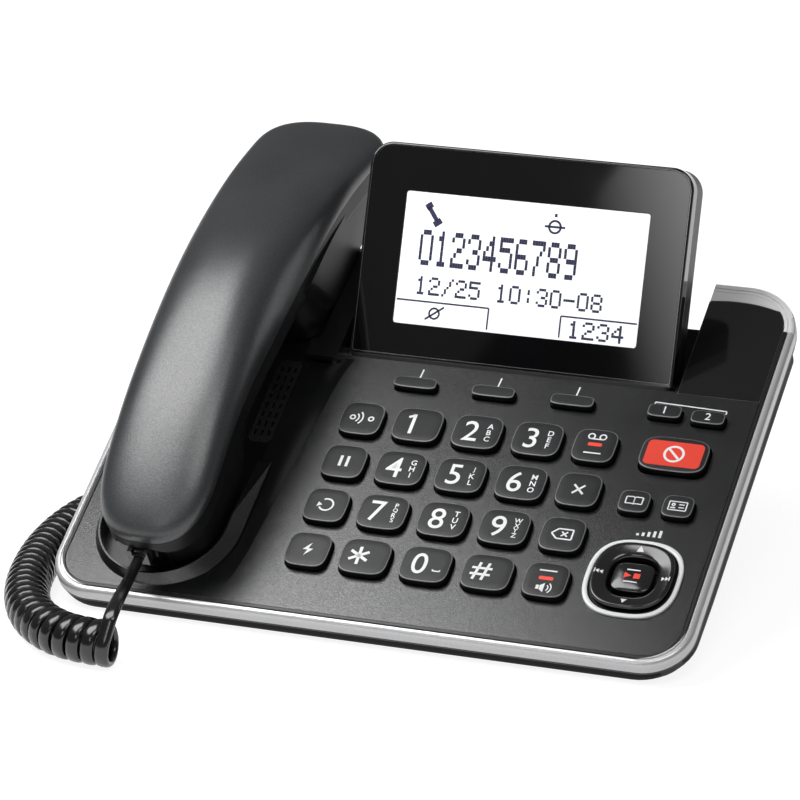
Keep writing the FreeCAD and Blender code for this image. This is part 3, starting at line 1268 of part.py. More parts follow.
COIL_Z = COIL_DIAMETER / 2
COIL_ROUTE = [(-70.4, -40.2), (-85.0, -40.4), (-99.0, -35.0), (-111.0, -24.0), (-120.5, -8.0),
              (-127.5, 12.0), (-132.2, 34.0), (-133.6, 56.0), (-131.0, 76.0), (-125.5, 92.0)]


def plug_mouth():
    """Where the cord leaves the handset's plug, on the desk frame, and which way."""
    turn = Rotation(Vector(0, 0, 1), -HANDSET_TURN)
    centre = Vector(HANDSET_X, HANDSET_MID_Y, 0)
    mouth = centre + turn.multVec(Vector(HANDSET_X + PLUG_SIDE, PLUG_FACE, PLUG_Z) - centre)
    way = turn.multVec(Vector(0, -1, 0))
    return TO_DESK.multVec(mouth), TO_DESK.Rotation.multVec(way)


def make_cord():
    coil = cord_tube([on_desk(x, y, COIL_Z) for x, y in COIL_ROUTE], COIL_DIAMETER)
    mouth, way = plug_mouth()
    meet = on_desk(-77.0, -38.4, COIL_DIAMETER - LEAD_DIAMETER / 2 - 0.3)
    lead = cord_tube([mouth, mouth + way * 13.0, meet], LEAD_DIAMETER)
    jack = TO_DESK.multVec(Vector(BASE_JACK_WALL - BASE_PLUG_OUT, BASE_JACK_Y, BASE_JACK_Z))
    end_x, end_y = COIL_ROUTE[-1]
    tail = [jack, jack + Vector(-11.0, 0, 0), jack + Vector(-19.0, -3.0, -13.0),
            on_desk(end_x - 0.5, end_y - 1.0, COIL_Z + 4.0)]
    return {"curly_cord": coil, "handset_lead": lead, "base_lead": cord_tube(tail, LEAD_DIAMETER)}


# ---- write ----------------------------------------------------------------


def make_all():
    parts = {}
    panel_parts = {"trim_band": make_trim(), "glossy_deck": make_deck(), "speaker_grille": make_grille(),
                   "hook_plunger": make_plunger(), "case_screws": make_screws(), "main_board": make_board(),
                   "keypad_mat": make_mat(), "loudspeaker": make_speaker(), "base_plug": make_base_plug()}
    upper = make_upper_case()
    upper = fuse([upper] + pin_bosses() + screw_posts() + trunnion_lugs(ROCKER_ROOM + 0.3, -WALL + 0.5, 90))
    upper = upper.cut(pin_holes())
    upper = upper.cut(trunnion_rod(ROCKER_ROOM + LUG_THICK + 2, TRUNNION_RADIUS + PIN_CLEARANCE, 90))
    for x, y in SCREW_PLACES:
        upper = upper.cut(Part.makeCylinder(SCREW_BORE, SCREW_LENGTH - 3.5, Vector(x, y, SCREW_SEAT)))
    panel_parts["upper_case"] = upper
    panel_parts["lower_case"] = make_lower_case()
    for group in (make_keys(), make_navigator(), make_display(), make_handset()):
        panel_parts.update(group)
    for name, shape in panel_parts.items():
        parts[name] = place(shape)
    parts["rear_stand"] = make_stand()
    parts["rubber_feet"] = make_feet()
    parts.update(make_cord())
    return parts


def main():
    os.makedirs("parts", exist_ok=True)
    for name, shape in make_all().items():
        if not shape.isValid():
            print("not valid:", name)
        shape.exportStep("parts/%s.step" % name)


main()
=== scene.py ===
import json
import math

import bmesh
import bpy
from mathutils import Matrix, Vector

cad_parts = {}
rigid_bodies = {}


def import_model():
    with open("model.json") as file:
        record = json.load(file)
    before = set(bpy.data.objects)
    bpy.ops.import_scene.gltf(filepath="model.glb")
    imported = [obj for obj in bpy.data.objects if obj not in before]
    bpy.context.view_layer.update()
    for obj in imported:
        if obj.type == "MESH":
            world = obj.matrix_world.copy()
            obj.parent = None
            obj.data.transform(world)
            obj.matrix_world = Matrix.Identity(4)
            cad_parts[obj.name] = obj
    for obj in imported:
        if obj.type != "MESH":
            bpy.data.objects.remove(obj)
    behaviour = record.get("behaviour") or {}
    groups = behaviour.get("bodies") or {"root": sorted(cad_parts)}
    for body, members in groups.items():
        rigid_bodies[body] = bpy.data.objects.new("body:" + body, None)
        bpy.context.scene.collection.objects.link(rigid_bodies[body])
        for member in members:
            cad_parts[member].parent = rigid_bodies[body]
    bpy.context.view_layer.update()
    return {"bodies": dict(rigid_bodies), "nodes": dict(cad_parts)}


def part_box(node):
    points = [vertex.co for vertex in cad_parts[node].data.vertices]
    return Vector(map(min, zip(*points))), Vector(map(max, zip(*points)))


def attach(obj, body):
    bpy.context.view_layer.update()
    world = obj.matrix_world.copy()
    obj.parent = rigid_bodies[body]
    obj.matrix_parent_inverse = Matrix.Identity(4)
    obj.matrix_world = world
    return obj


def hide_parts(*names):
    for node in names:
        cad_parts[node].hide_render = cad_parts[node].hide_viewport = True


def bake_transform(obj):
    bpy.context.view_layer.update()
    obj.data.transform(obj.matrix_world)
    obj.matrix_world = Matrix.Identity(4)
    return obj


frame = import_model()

# ---- frames and sizes, metres ----

MM = 0.001
HALF_DEPTH = 87.06 * MM
FRONT_LIFT = 9.0 * MM
SLOPE = math.radians(30)
DISPLAY_FOOT = 122.5 * MM
DISPLAY_TILT = math.radians(40)

# x to the right, y up the slope, z out of the panel
PANEL = Matrix.Translation((0, -HALF_DEPTH, FRONT_LIFT)) @ Matrix.Rotation(SLOPE, 4, "X")
# the same on the display's face
DISPLAY = PANEL @ Matrix.Translation((0, DISPLAY_FOOT, 0)) @ Matrix.Rotation(DISPLAY_TILT, 4, "X")


def node_extent(name, to_local, above=None):
    """Lowest and highest corner of a CAD node in a local frame; above keeps only what is higher than that."""
    inverse = to_local.inverted()
    node = frame["nodes"][name]
    points = [inverse @ (node.matrix_world @ v.co) for v in node.data.vertices]
    if above is not None:
        points = [p for p in points if p.z > above]
    low = Vector([min(p[i] for p in points) for i in range(3)])
    high = Vector([max(p[i] for p in points) for i in range(3)])
    return low, high


# ---- camera ----

CAMERA_AZIMUTH = math.radians(20.788)
CAMERA_ELEVATION = math.radians(19.2)
CAMERA_ROLL = math.radians(-0.541)
CAMERA_LENS = 192.7              # millimetres, on a sensor 36 wide
CAMERA_SENSOR = 36.0
CAMERA_CLIP = (0.05, 30.0)
CAMERA_PLACE = Vector((0.5021, -1.2741 - HALF_DEPTH, 0.5686))


def linked(name, data):
    """A new object of that data, in the scene."""
    made = bpy.data.objects.new(name, data)
    bpy.context.collection.objects.link(made)
    return made


def make_camera():
    """Looks along azimuth and elevation, rolled a little."""
    a, e, r = CAMERA_AZIMUTH, CAMERA_ELEVATION, CAMERA_ROLL
    ahead = Vector((-math.sin(a) * math.cos(e), math.cos(a) * math.cos(e), -math.sin(e)))
    right = Vector((math.cos(a), math.sin(a), 0))
    up = right.cross(ahead)
    right_rolled = right * math.cos(r) + up * math.sin(r)
    up_rolled = up * math.cos(r) - right * math.sin(r)
    data = bpy.data.cameras.new("camera")
    data.lens = CAMERA_LENS
    data.sensor_width = CAMERA_SENSOR
    data.clip_start, data.clip_end = CAMERA_CLIP
    camera = linked("camera", data)
    turn = Matrix((right_rolled, up_rolled, -ahead)).transposed().to_4x4()
    camera.matrix_world = Matrix.Translation(CAMERA_PLACE) @ turn
    bpy.context.scene.camera = camera


make_camera()

# ---- materials ----

CLOUD_SCALE = 35                 # soft variation over centimetres
CLOUD_LOW, CLOUD_HIGH = 0.3, 0.7
COAT_ROUGH = 0.08
BUMP_DEPTH = 0.08 * MM
EDGE_DOTS = (0.985, 0.90)        # bent against true normal, flat and at an edge


def new_material(name):
    material = bpy.data.materials.new(name)
    material.use_nodes = True
    tree = material.node_tree
    return material, tree, tree.nodes["Principled BSDF"]


def add(tree, kind, **inputs):
    """A node of that kind with some of its input values set."""
    node = tree.nodes.new(kind)
    for key, value in inputs.items():
        node.inputs[key.replace("_", " ")].default_value = value
    return node


def noise(tree, coords, scale, detail=3.0):
    node = add(tree, "ShaderNodeTexNoise", Scale=scale, Detail=detail, Roughness=0.55)
    tree.links.new(coords, node.inputs["Vector"])
    return node.outputs["Fac"]


def remap(tree, value, low, high, out_low, out_high):
    node = tree.nodes.new("ShaderNodeMapRange")
    for key, number in (("From Min", low), ("From Max", high), ("To Min", out_low), ("To Max", out_high)):
        node.inputs[key].default_value = number
    tree.links.new(value, node.inputs["Value"])
    return node.outputs["Result"]


def mixed(tree, factor, first, second):
    node = tree.nodes.new("ShaderNodeMix")
    node.data_type = "RGBA"
    tree.links.new(factor, node.inputs[0])
    for socket, value in ((node.inputs[6], first), (node.inputs[7], second)):
        if isinstance(value, tuple):
            socket.default_value = (*value, 1.0)
        else:
            tree.links.new(value, socket)
    return node.outputs[2]


def object_coords(tree):
    return tree.nodes.new("ShaderNodeTexCoord").outputs["Object"]


def edge_normal(tree, radius):
    node = tree.nodes.new("ShaderNodeBevel")
    node.samples = 4
    node.inputs["Radius"].default_value = radius
    return node.outputs["Normal"]


def sharp_edges(tree, radius):
    """Near 1 where the surface turns sharply within the radius, 0 elsewhere; it places painted edge highlights."""
    turn = tree.nodes.new("ShaderNodeVectorMath")
    turn.operation = "DOT_PRODUCT"
    tree.links.new(edge_normal(tree, radius), turn.inputs[0])
    tree.links.new(tree.nodes.new("ShaderNodeNewGeometry").outputs["Normal"], turn.inputs[1])
    return remap(tree, turn.outputs["Value"], *EDGE_DOTS, 0, 1)


def plastic(name, colour, rough, grain=0.0, grain_size=0.5, spread=0.1, rough_spread=0.05,
            coat=0.0, edge=0.25, specular=0.5, sparkle=0.0, painted_edge_highlight=0.0):
    """Moulded plastic: fine spark texture, cloudy colour and sheen, softened edges that can catch light, and sharp
    edges painted grey as a painted highlight when painted_edge_highlight is given.

    grain_size and edge, the bevel's radius, are in millimetres; sparkle is how far the texture varies the gloss.
    """
    material, tree, shader = new_material(name)
    coords = object_coords(tree)
    cloud = noise(tree, coords, CLOUD_SCALE, 4)
    speck = noise(tree, coords, 1 / (grain_size * MM), 2)
    dark = tuple(c * (1 - spread) for c in colour)
    light = tuple(c * (1 + spread) for c in colour)
    paint = mixed(tree, remap(tree, cloud, CLOUD_LOW, CLOUD_HIGH, 0, 1), dark, light)
    # painted highlight: sharp edges are painted grey
    if painted_edge_highlight:
        paint = mixed(tree, sharp_edges(tree, edge * 1.3 * MM), paint, (painted_edge_highlight, painted_edge_highlight, painted_edge_highlight))
    tree.links.new(paint, shader.inputs["Base Color"])
    tree.links.new(remap(tree, cloud, CLOUD_LOW, CLOUD_HIGH, rough - rough_spread, rough + rough_spread),
                   shader.inputs["Roughness"])
    shader.inputs["Specular IOR Level"].default_value = specular
    if sparkle:
        tree.links.new(remap(tree, speck, 0.36, 0.64, specular * (1 - sparkle), specular * (1 + sparkle)),
                       shader.inputs["Specular IOR Level"])
    shader.inputs["Coat Weight"].default_value = coat
    shader.inputs["Coat Roughness"].default_value = COAT_ROUGH
    bump = add(tree, "ShaderNodeBump", Strength=grain, Distance=BUMP_DEPTH)
    tree.links.new(speck, bump.inputs["Height"])
    if edge:
        tree.links.new(edge_normal(tree, edge * MM), bump.inputs["Normal"])
    tree.links.new(bump.outputs["Normal"], shader.inputs["Normal"])
    return material


BLACK_PLASTIC = plastic("black_plastic", (0.010, 0.010, 0.011), 0.38, grain=0.35, grain_size=0.5, specular=0.35)
SKIRT_BLACK = plastic("skirt_black", (0.005, 0.005, 0.0055), 0.55, grain=0.2, grain_size=0.5, edge=0, specular=0.12)
# handset plastic: its sharp edges get a painted highlight in grey
HANDSET_PLASTIC = plastic("handset_plastic", (0.026, 0.028, 0.031), 0.36, grain=0.60, grain_size=0.6, edge=0.6,
                          rough_spread=0.03, specular=1.0, sparkle=0.16, painted_edge_highlight=0.22)
HANDSET_LOWER = plastic("handset_lower_plastic", (0.007, 0.0075, 0.008), 0.45, grain=0.25, grain_size=0.5, edge=0.5,
                        specular=0.3)
KEY_PLASTIC = plastic("key_plastic", (0.016, 0.017, 0.018), 0.36, grain=0.25, grain_size=0.4, edge=0.0,
                      specular=0.36, sparkle=0.15)
# painted shade: the sides of the keys are a near black copy of the key plastic
KEY_SIDES_SHADE = plastic("key_sides_painted_shade", (0.006, 0.006, 0.006), 0.5, grain=0.1, grain_size=0.35, edge=0.0, specular=0.2)
# painted highlight: the rounded rims of the keys are painted light grey
KEY_RIM_HIGHLIGHT = plastic("key_rim_painted_highlight", (0.20, 0.203, 0.207), 0.28, grain=0.1, grain_size=0.35, edge=0.0, specular=0.7)
NAV_BLACK = plastic("navigator_black", (0.010, 0.010, 0.011), 0.16, grain=0.03, grain_size=2.0, rough_spread=0.02,
                    edge=0.0, specular=0.8)
# gloss black: its sharp edges get a painted highlight in grey
GLOSS_BLACK = plastic("gloss_black", (0.006, 0.006, 0.007), 0.07, grain=0.02, grain_size=4.0, rough_spread=0.02,
                      edge=0.3, coat=0.6, painted_edge_highlight=0.16)
LENS_BLACK = plastic("lens_black", (0.004, 0.004, 0.0045), 0.05, grain=0.01, grain_size=6.0, rough_spread=0.01,
                     edge=0.2)
PRINT_WHITE = plastic("print_white", (0.90, 0.91, 0.92), 0.45, grain=0.08, grain_size=0.3, spread=0.03, edge=0)
PRINT_RED = plastic("print_red", (0.88, 0.055, 0.028), 0.38, grain=0.08, grain_size=0.3, spread=0.04, edge=0)
WHITE_RING = plastic("white_ring", (0.93, 0.94, 0.95), 0.25, grain=0.05, spread=0.02, edge=0.3)
RUBBER = plastic("rubber", (0.02, 0.02, 0.02), 0.75, grain=0.4, grain_size=0.8)
CAP_PLASTIC = plastic("cap_plastic", (0.015, 0.015, 0.016), 0.4, grain=0.2)
PLUG_PLASTIC = plastic("plug_plastic", (0.03, 0.03, 0.033), 0.15, grain=0.05, coat=0.4)
CORD_VINYL = plastic("cord_vinyl", (0.005, 0.005, 0.0055), 0.20, grain=0.10, grain_size=1.2, rough_spread=0.03,
                     edge=0, specular=0.75)
LCD_DARK = plastic("lcd_segment", (0.014, 0.014, 0.065), 0.35, grain=0.05, spread=0.1, edge=0)
PCB = plastic("circuit_board", (0.03, 0.16, 0.07), 0.35, grain=0.1)
SPEAKER = plastic("speaker_metal", (0.06, 0.06, 0.06), 0.4, grain=0.1)


def glowing(material, strength):
    """Adds a faint, even glow in the paint's own colour."""
    shader = material.node_tree.nodes["Principled BSDF"]
    colour = shader.inputs["Base Color"].links[0].from_socket
    material.node_tree.links.new(colour, shader.inputs["Emission Color"])
    shader.inputs["Emission Strength"].default_value = strength
    return material


LCD_FACE = glowing(plastic("lcd_face", (0.88, 0.90, 0.90), 0.30, grain=0.03, spread=0.012, edge=0), 0.43)
LAMP_RED = glowing(plastic("lamp_red", (0.85, 0.06, 0.03), 0.3, grain=0.05, spread=0.05, edge=0.2), 0.25)


def metal(name, colour, rough):
    """Finely brushed bare metal."""
    material, tree, shader = new_material(name)
    coords = object_coords(tree)
    brushed = noise(tree, coords, 900, 3)
    tree.links.new(mixed(tree, brushed, tuple(c * 0.85 for c in colour), colour), shader.inputs["Base Color"])
    tree.links.new(remap(tree, brushed, 0.3, 0.7, rough - 0.06, rough + 0.06), shader.inputs["Roughness"])
    shader.inputs["Metallic"].default_value = 1.0
    return material


STEEL = metal("steel", (0.6, 0.6, 0.62), 0.3)


def combined(tree, operation, first, second):
    node = tree.nodes.new("ShaderNodeMath")
    node.operation = operation
    tree.links.new(first, node.inputs[0])
    if isinstance(second, float):
        node.inputs[1].default_value = second
    else:
        tree.links.new(second, node.inputs[1])
    return node.outputs[0]


def corner_distance(tree, point, half, radius):
    """Distance in the panel's plane from a core rectangle; it is the radius on the rounded outline."""

    def vector_math(operation, first, second=None):
        node = tree.nodes.new("ShaderNodeVectorMath")
        node.operation = operation
        tree.links.new(first, node.inputs[0])
        if second is not None:
            node.inputs[1].default_value = second
        return node

    flat = vector_math("MULTIPLY", point, (1, 1, 0)).outputs[0]
    folded = vector_math("ABSOLUTE", flat).outputs[0]
    corner = vector_math("SUBTRACT", folded, (half[0] - radius, half[1] - radius, 0)).outputs[0]
    outside = vector_math("MAXIMUM", corner, (0, 0, 0)).outputs[0]
    length = vector_math("LENGTH", outside).outputs["Value"]
    split = tree.nodes.new("ShaderNodeSeparateXYZ")
    tree.links.new(corner, split.inputs[0])
    larger = combined(tree, "MAXIMUM", split.outputs[0], split.outputs[1])
    inside = combined(tree, "MINIMUM", larger, 0.0)
    return combined(tree, "ADD", length, inside)


BASE_HALF = (118.5 * MM, 87.5 * MM)
BASE_CORNER = 19.0 * MM
SILVER_WIDTH = 2.55 * MM
SILVER_LOW = -4.3 * MM           # the band turns black below this height
# the ear's wide face, inside these limits, is silver with a painted highlight
EAR_FACE_X = 84.0 * MM           # the ear's wide face lies right of this and behind the next
EAR_FACE_Y = 155.0 * MM
PAINT_EDGE = 0.1 * MM            # half the width over which the paint changes
# painted shade for the panel's recesses: near black with little gloss below the panel's face, fading in between these
# two heights
SUNK_SHADE_HEIGHTS = (-5.0 * MM, -3.2 * MM)
SUNK_SHADE_COLOUR = (0.003, 0.003, 0.003)
SUNK_SHADE_GLOSS = 0.12


def panel_coords(tree):
    """Coordinates about the middle of the panel: x to the right, y up the slope, z out of it."""
    turn = tree.nodes.new("ShaderNodeMapping")
    turn.vector_type = "TEXTURE"
    turn.inputs["Location"].default_value = PANEL @ Vector((0, BASE_HALF[1], 0))
    turn.inputs["Rotation"].default_value = (SLOPE, 0, 0)
    tree.links.new(object_coords(tree), turn.inputs["Vector"])
    split = tree.nodes.new("ShaderNodeSeparateXYZ")
    tree.links.new(turn.outputs[0], split.inputs[0])
    return turn.outputs[0], split.outputs


def paint_sunk_shade(material):
    """Painted shade below the panel's face: the cradle's well, pockets and the walls of the openings are painted matt
    black, standing for the shade there.
    """
    tree = material.node_tree
    shader = tree.nodes["Principled BSDF"]
    height = panel_coords(tree)[1][2]
    raised = remap(tree, height, *SUNK_SHADE_HEIGHTS, 0, 1)
    paint = shader.inputs["Base Color"].links[0].from_socket
    # painted shade: the colour turns near black below the panel's face
    tree.links.new(mixed(tree, raised, SUNK_SHADE_COLOUR, paint), shader.inputs["Base Color"])
    gloss = shader.inputs["Specular IOR Level"].links[0].from_socket
    tree.links.new(combined(tree, "MULTIPLY", gloss, remap(tree, raised, 0, 1, SUNK_SHADE_GLOSS, 1)),
                   shader.inputs["Specular IOR Level"])
    return material


# the panel's plastic, with painted shade in its recesses
PANEL_PLASTIC = paint_sunk_shade(plastic("panel_plastic", (0.009, 0.0095, 0.010), 0.225, grain=0.75, grain_size=0.38,
                                    spread=0.12, rough_spread=0.02, specular=0.9, sparkle=0.28))


def silver_band():
    """Satin silver paint on the outer band and the ear's wide face, which is painted near white and less metallic as a
    painted highlight; the bead in its groove keeps the panel's colour.
    """
    material, tree, shader = new_material("silver_band")
    coords = object_coords(tree)
    place, split = panel_coords(tree)
    distance = corner_distance(tree, place, BASE_HALF, BASE_CORNER)
    inner = BASE_CORNER - SILVER_WIDTH
    silver = remap(tree, distance, inner - PAINT_EDGE, inner + PAINT_EDGE, 0, 1)
    ear_front = EAR_FACE_Y - BASE_HALF[1]
    ear_x = remap(tree, split[0], EAR_FACE_X, EAR_FACE_X + 2 * PAINT_EDGE, 0, 1)
    ear_y = remap(tree, split[1], ear_front, ear_front + 2 * PAINT_EDGE, 0, 1)
    ear = combined(tree, "MULTIPLY", ear_x, ear_y)
    silver = combined(tree, "MAXIMUM", silver, ear)
    silver = combined(tree, "MULTIPLY", silver, remap(tree, split[2], SILVER_LOW - PAINT_EDGE, SILVER_LOW, 0, 1))
    cloud = noise(tree, coords, 60, 3)
    flake = noise(tree, coords, 4000, 2)
    bright = mixed(tree, cloud, (0.66, 0.66, 0.67), (0.74, 0.74, 0.75))
    # painted highlight: the ear's wide face is painted near white
    bright = mixed(tree, ear, bright, (0.95, 0.95, 0.96))
    tree.links.new(mixed(tree, silver, (0.012, 0.012, 0.013), bright), shader.inputs["Base Color"])
    # painted highlight: the ear's wide face is also made less metallic
    tree.links.new(combined(tree, "MULTIPLY", remap(tree, silver, 0, 1, 0.0, 0.42), remap(tree, ear, 0, 1, 1, 0.15)),
                   shader.inputs["Metallic"])
    tree.links.new(remap(tree, flake, 0.3, 0.7, 0.26, 0.36), shader.inputs["Roughness"])
    bump = add(tree, "ShaderNodeBump", Strength=0.06, Distance=0.05 * MM)
    tree.links.new(flake, bump.inputs["Height"])
    tree.links.new(edge_normal(tree, 0.3 * MM), bump.inputs["Normal"])
    tree.links.new(bump.outputs["Normal"], shader.inputs["Normal"])
    return material


SILVER_BAND = silver_band()

NODE_MATERIALS = {
    "upper_case": PANEL_PLASTIC, "lower_case": BLACK_PLASTIC, "rear_stand": BLACK_PLASTIC,
    "display_back": BLACK_PLASTIC, "hook_plunger": BLACK_PLASTIC, "navigator_gimbal": BLACK_PLASTIC,
    "handset_upper_shell": HANDSET_PLASTIC, "handset_lower_shell": HANDSET_LOWER,
    "ear_and_mouth_caps": CAP_PLASTIC, "speaker_grille": CAP_PLASTIC, "trim_band": SILVER_BAND,
    "glossy_deck": GLOSS_BLACK, "display_bezel": GLOSS_BLACK, "display_lens": LENS_BLACK,
    "navigator_ring": GLOSS_BLACK, "play_stop_key": GLOSS_BLACK, "lcd_panel": LCD_FACE,
    "answer_lamp": LAMP_RED, "speaker_lamp": LAMP_RED, "navigator_bezel": WHITE_RING,
    "rubber_feet": RUBBER, "keypad_mat": RUBBER, "case_screws": STEEL, "hinge_pins": STEEL,
    "main_board": PCB, "loudspeaker": SPEAKER, "handset_plug": PLUG_PLASTIC, "base_plug": PLUG_PLASTIC,
}


def dress_nodes():
    for name, node in frame["nodes"].items():
        material = NODE_MATERIALS.get(name, KEY_PLASTIC)
        for slot in node.material_slots:
            slot.material = material


dress_nodes()

# ---- mesh helpers ----


def new_piece(name, vertices, faces, material, body, frame_matrix=None, smooth=True):
    """A visible piece from mesh data, riding on a body if one is given."""
    mesh = bpy.data.meshes.new(name)
    if frame_matrix is not None:
        vertices = [frame_matrix @ Vector(v) for v in vertices]
    mesh.from_pydata([tuple(v) for v in vertices], [], faces)
    mesh.validate()
    edit = bmesh.new()
    edit.from_mesh(mesh)
    bmesh.ops.recalc_face_normals(edit, faces=edit.faces)
    edit.to_mesh(mesh)
    edit.free()
    for polygon in mesh.polygons:
        polygon.use_smooth = smooth
    mesh.materials.append(material)
    piece = linked(name, mesh)
    if body:
        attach(piece, body)
    return piece


# ---- keys ----

KEY_BODIES = [b for b in frame["bodies"] if b.startswith("key_") or b.endswith("_key") or "_key_" in b]
KEY_ROUND = 0.36 * MM            # radius of the rim
KEY_CROWN = 0.02 * MM
KEY_SINK = 2.6 * MM              # how far the sides go down into the panel
KEY_BOTTOM = 0.5 * MM            # only what rises above this height gives a cap its outline
KEY_CORNER = 4.5 * MM
SMALL_KEY_HALF = 3.2 * MM        # below this half width a key has the small corner
SMALL_KEY_CORNER = 2 * MM
OUTLINE_STEPS = 64


def key_outline(half_w, half_l, corner, inset):
    """Superellipse-cornered rectangle with gently bowed sides."""
    points = []
    w, l = half_w - inset, half_l - inset
    power = 4.6 if corner == SMALL_KEY_CORNER else 3.9
    for n in range(OUTLINE_STEPS):
        angle = 2 * math.pi * (n + 0.5) / OUTLINE_STEPS
        c, s = math.cos(angle), math.sin(angle)
        px = math.copysign(abs(c) ** (2 / power), c)
        py = math.copysign(abs(s) ** (2 / power), s)
        points.append((w * px, l * py))
    return points


def stacked(rings, count):
    """Faces that join stacked outlines of count points each, with a fan to one last point."""
    faces = []
    for ring in range(rings - 1):
        for n in range(count):
            m = (n + 1) % count
            faces.append((ring * count + n, ring * count + m, (ring + 1) * count + m, (ring + 1) * count + n))
    last = (rings - 1) * count
    for n in range(count):
        faces.append((last + n, last + (n + 1) % count, rings * count))
    faces.append(tuple(range(count - 1, -1, -1)))
    return faces


def rounded_key(name, node):
    """A key cap with a rounded rim painted light grey as a highlight, sides painted near black as shade and a nearly
    flat top, standing for its CAD node.
    """
    low, high = node_extent(node, PANEL, above=KEY_BOTTOM)
    centre = (low + high) / 2
    half_w, half_l = (high.x - low.x) / 2, (high.y - low.y) / 2
    top = high.z
    reach = min(half_w, half_l)
    corner = SMALL_KEY_CORNER if reach < SMALL_KEY_HALF else KEY_CORNER
    rings = [(0.0, -KEY_SINK), (0.0, top - KEY_ROUND)]
    for step in (1, 2, 3, 4):
        angle = math.pi / 2 * step / 4
        rings.append((KEY_ROUND * (1 - math.cos(angle)), top - KEY_ROUND * (1 - math.sin(angle))))
    for share in (0.35, 0.65):
        rings.append((KEY_ROUND + (reach - KEY_ROUND) * share, top + KEY_CROWN * share))
    vertices = []
    for inset, height in rings:
        for x, y in key_outline(half_w, half_l, corner, inset):
            vertices.append((centre.x + x, centre.y + y, height))
    vertices.append((centre.x, centre.y, top + KEY_CROWN))
    count = OUTLINE_STEPS
    piece = new_piece(name, vertices, stacked(len(rings), count), KEY_PLASTIC, node, PANEL)
    piece.data.materials.append(KEY_SIDES_SHADE)
    piece.data.materials.append(KEY_RIM_HIGHLIGHT)
    # painted shade on the side band, painted highlight on the rim bands
    for polygon in piece.data.polygons:      # the first band is the side, the next ones the rim
        if polygon.index < count:
            polygon.material_index = 1
        elif count * 2 <= polygon.index < count * 5:
            polygon.material_index = 2
    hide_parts(node)
    return centre, top + KEY_CROWN


KEY_TOPS = {}
for body in sorted(KEY_BODIES):
    if body != "play_stop_key":
        KEY_TOPS[body] = rounded_key(body + "_cap", body)

# ---- skirt under the silver band ----

SKIRT_TOP = -5.25 * MM
SKIRT_LOW = -9.3 * MM
SKIRT_DEEPER = 1.5 * MM          # along the sides, away from the front
SKIRT_BACK = 150 * MM
SKIRT_BEND = 38 * MM             # from here back the skirt runs straight at its full depth
SKIRT_FRONT = 8 * MM             # in front of this it has no extra depth


def make_skirt():
    """The lower case's black skirt, flush with the band along the front and both sides."""
    half, corner = BASE_HALF[0], BASE_CORNER
    path = []
    for side, start in ((-1, 180), (1, 270)):
        for n in range(13):
            angle = math.radians(start + 90 * n / 12)
            path.append(((half - corner) * side, corner, angle))
    stations = [(-half, SKIRT_BACK, (-1, 0)), (-half, SKIRT_BEND, (-1, 0))]
    stations += [(x + corner * math.cos(a), y + corner * math.sin(a), (math.cos(a), math.sin(a))) for x, y, a in path]
    stations += [(half, SKIRT_BEND, (1, 0)), (half, SKIRT_BACK, (1, 0))]
    section = ((0.05, SKIRT_TOP), (0.05, SKIRT_TOP - 2.4 * MM), (0.3, SKIRT_LOW + 0.4 * MM), (0.6, SKIRT_LOW),
               (1.1, SKIRT_LOW), (1.1, SKIRT_TOP))
    vertices, faces = [], []
    for x, y, (out_x, out_y) in stations:
        deeper = SKIRT_DEEPER * min(1.0, max(0.0, (y - SKIRT_FRONT) / (SKIRT_BEND - SKIRT_FRONT)))
        for inset, z in section:
            drop = deeper * (SKIRT_TOP - z) / (SKIRT_TOP - SKIRT_LOW)
            vertices.append((x - out_x * inset * MM, y - out_y * inset * MM, z - drop))
    count = len(section)
    for n in range(len(stations) - 1):
        for k in range(count):
            m = (k + 1) % count
            faces.append((n * count + k, n * count + m, (n + 1) * count + m, (n + 1) * count + k))
    faces.append(tuple(range(count)))
    faces.append(tuple(range(len(vertices) - 1, len(vertices) - count - 1, -1)))
    new_piece("skirt", vertices, faces, SKIRT_BLACK, "base", PANEL, smooth=False)


make_skirt()

# ---- navigator ----

NAV_CENTRE = Vector((91.5 * MM, 35.8 * MM, 0))
NAV_POWER = 2.7                  # 2 is a circle, more is squarer
NAV_STEPS = 96
# (half width, height) of each section, and (inset, height) of the dome, millimetres
RIM_PROFILE = ((15.25, -0.4), (15.25, 0.62), (15.45, 0.88), (16.75, 0.88), (17.0, 0.6), (17.0, -0.4))
# the gap ring is a flat dark sheet standing for the shade in the gap
GAP_PROFILE = ((12.8, 0.02), (12.8, 0.06), (15.3, 0.06), (15.3, 0.02))
ROCKER_PROFILE = ((13.0, 1.5), (14.15, 1.5), (14.3, 1.65), (14.3, 2.3), (14.2, 2.72), (13.95, 2.98), (13.6, 3.08),
                  (12.6, 2.9), (11.3, 2.6), (10.1, 2.3), (9.5, 2.1), (9.0, 1.75), (8.7, 1.2), (8.6, 0.4), (8.6, -1.0))
ROCKER_TOP = (1.75, 13.7)        # the dished top is above this height and inside this half width
DOME_PROFILE = ((0.0, -2.6), (0.0, 1.15), (0.12, 1.38), (0.35, 1.52), (1.2, 1.72), (2.4, 1.92), (3.8, 2.08),
                (5.0, 2.16))
DOME_TOP = 2.2 * MM


def squircle(radius):
    """A circle of that half width drawn out a little towards its four corners."""
    points = []
    for n in range(NAV_STEPS):
        angle = 2 * math.pi * (n + 0.5) / NAV_STEPS
        c, s = math.cos(angle), math.sin(angle)
        reach = radius / (abs(c) ** NAV_POWER + abs(s) ** NAV_POWER) ** (1 / NAV_POWER)
        points.append((reach * c, reach * s))
    return points


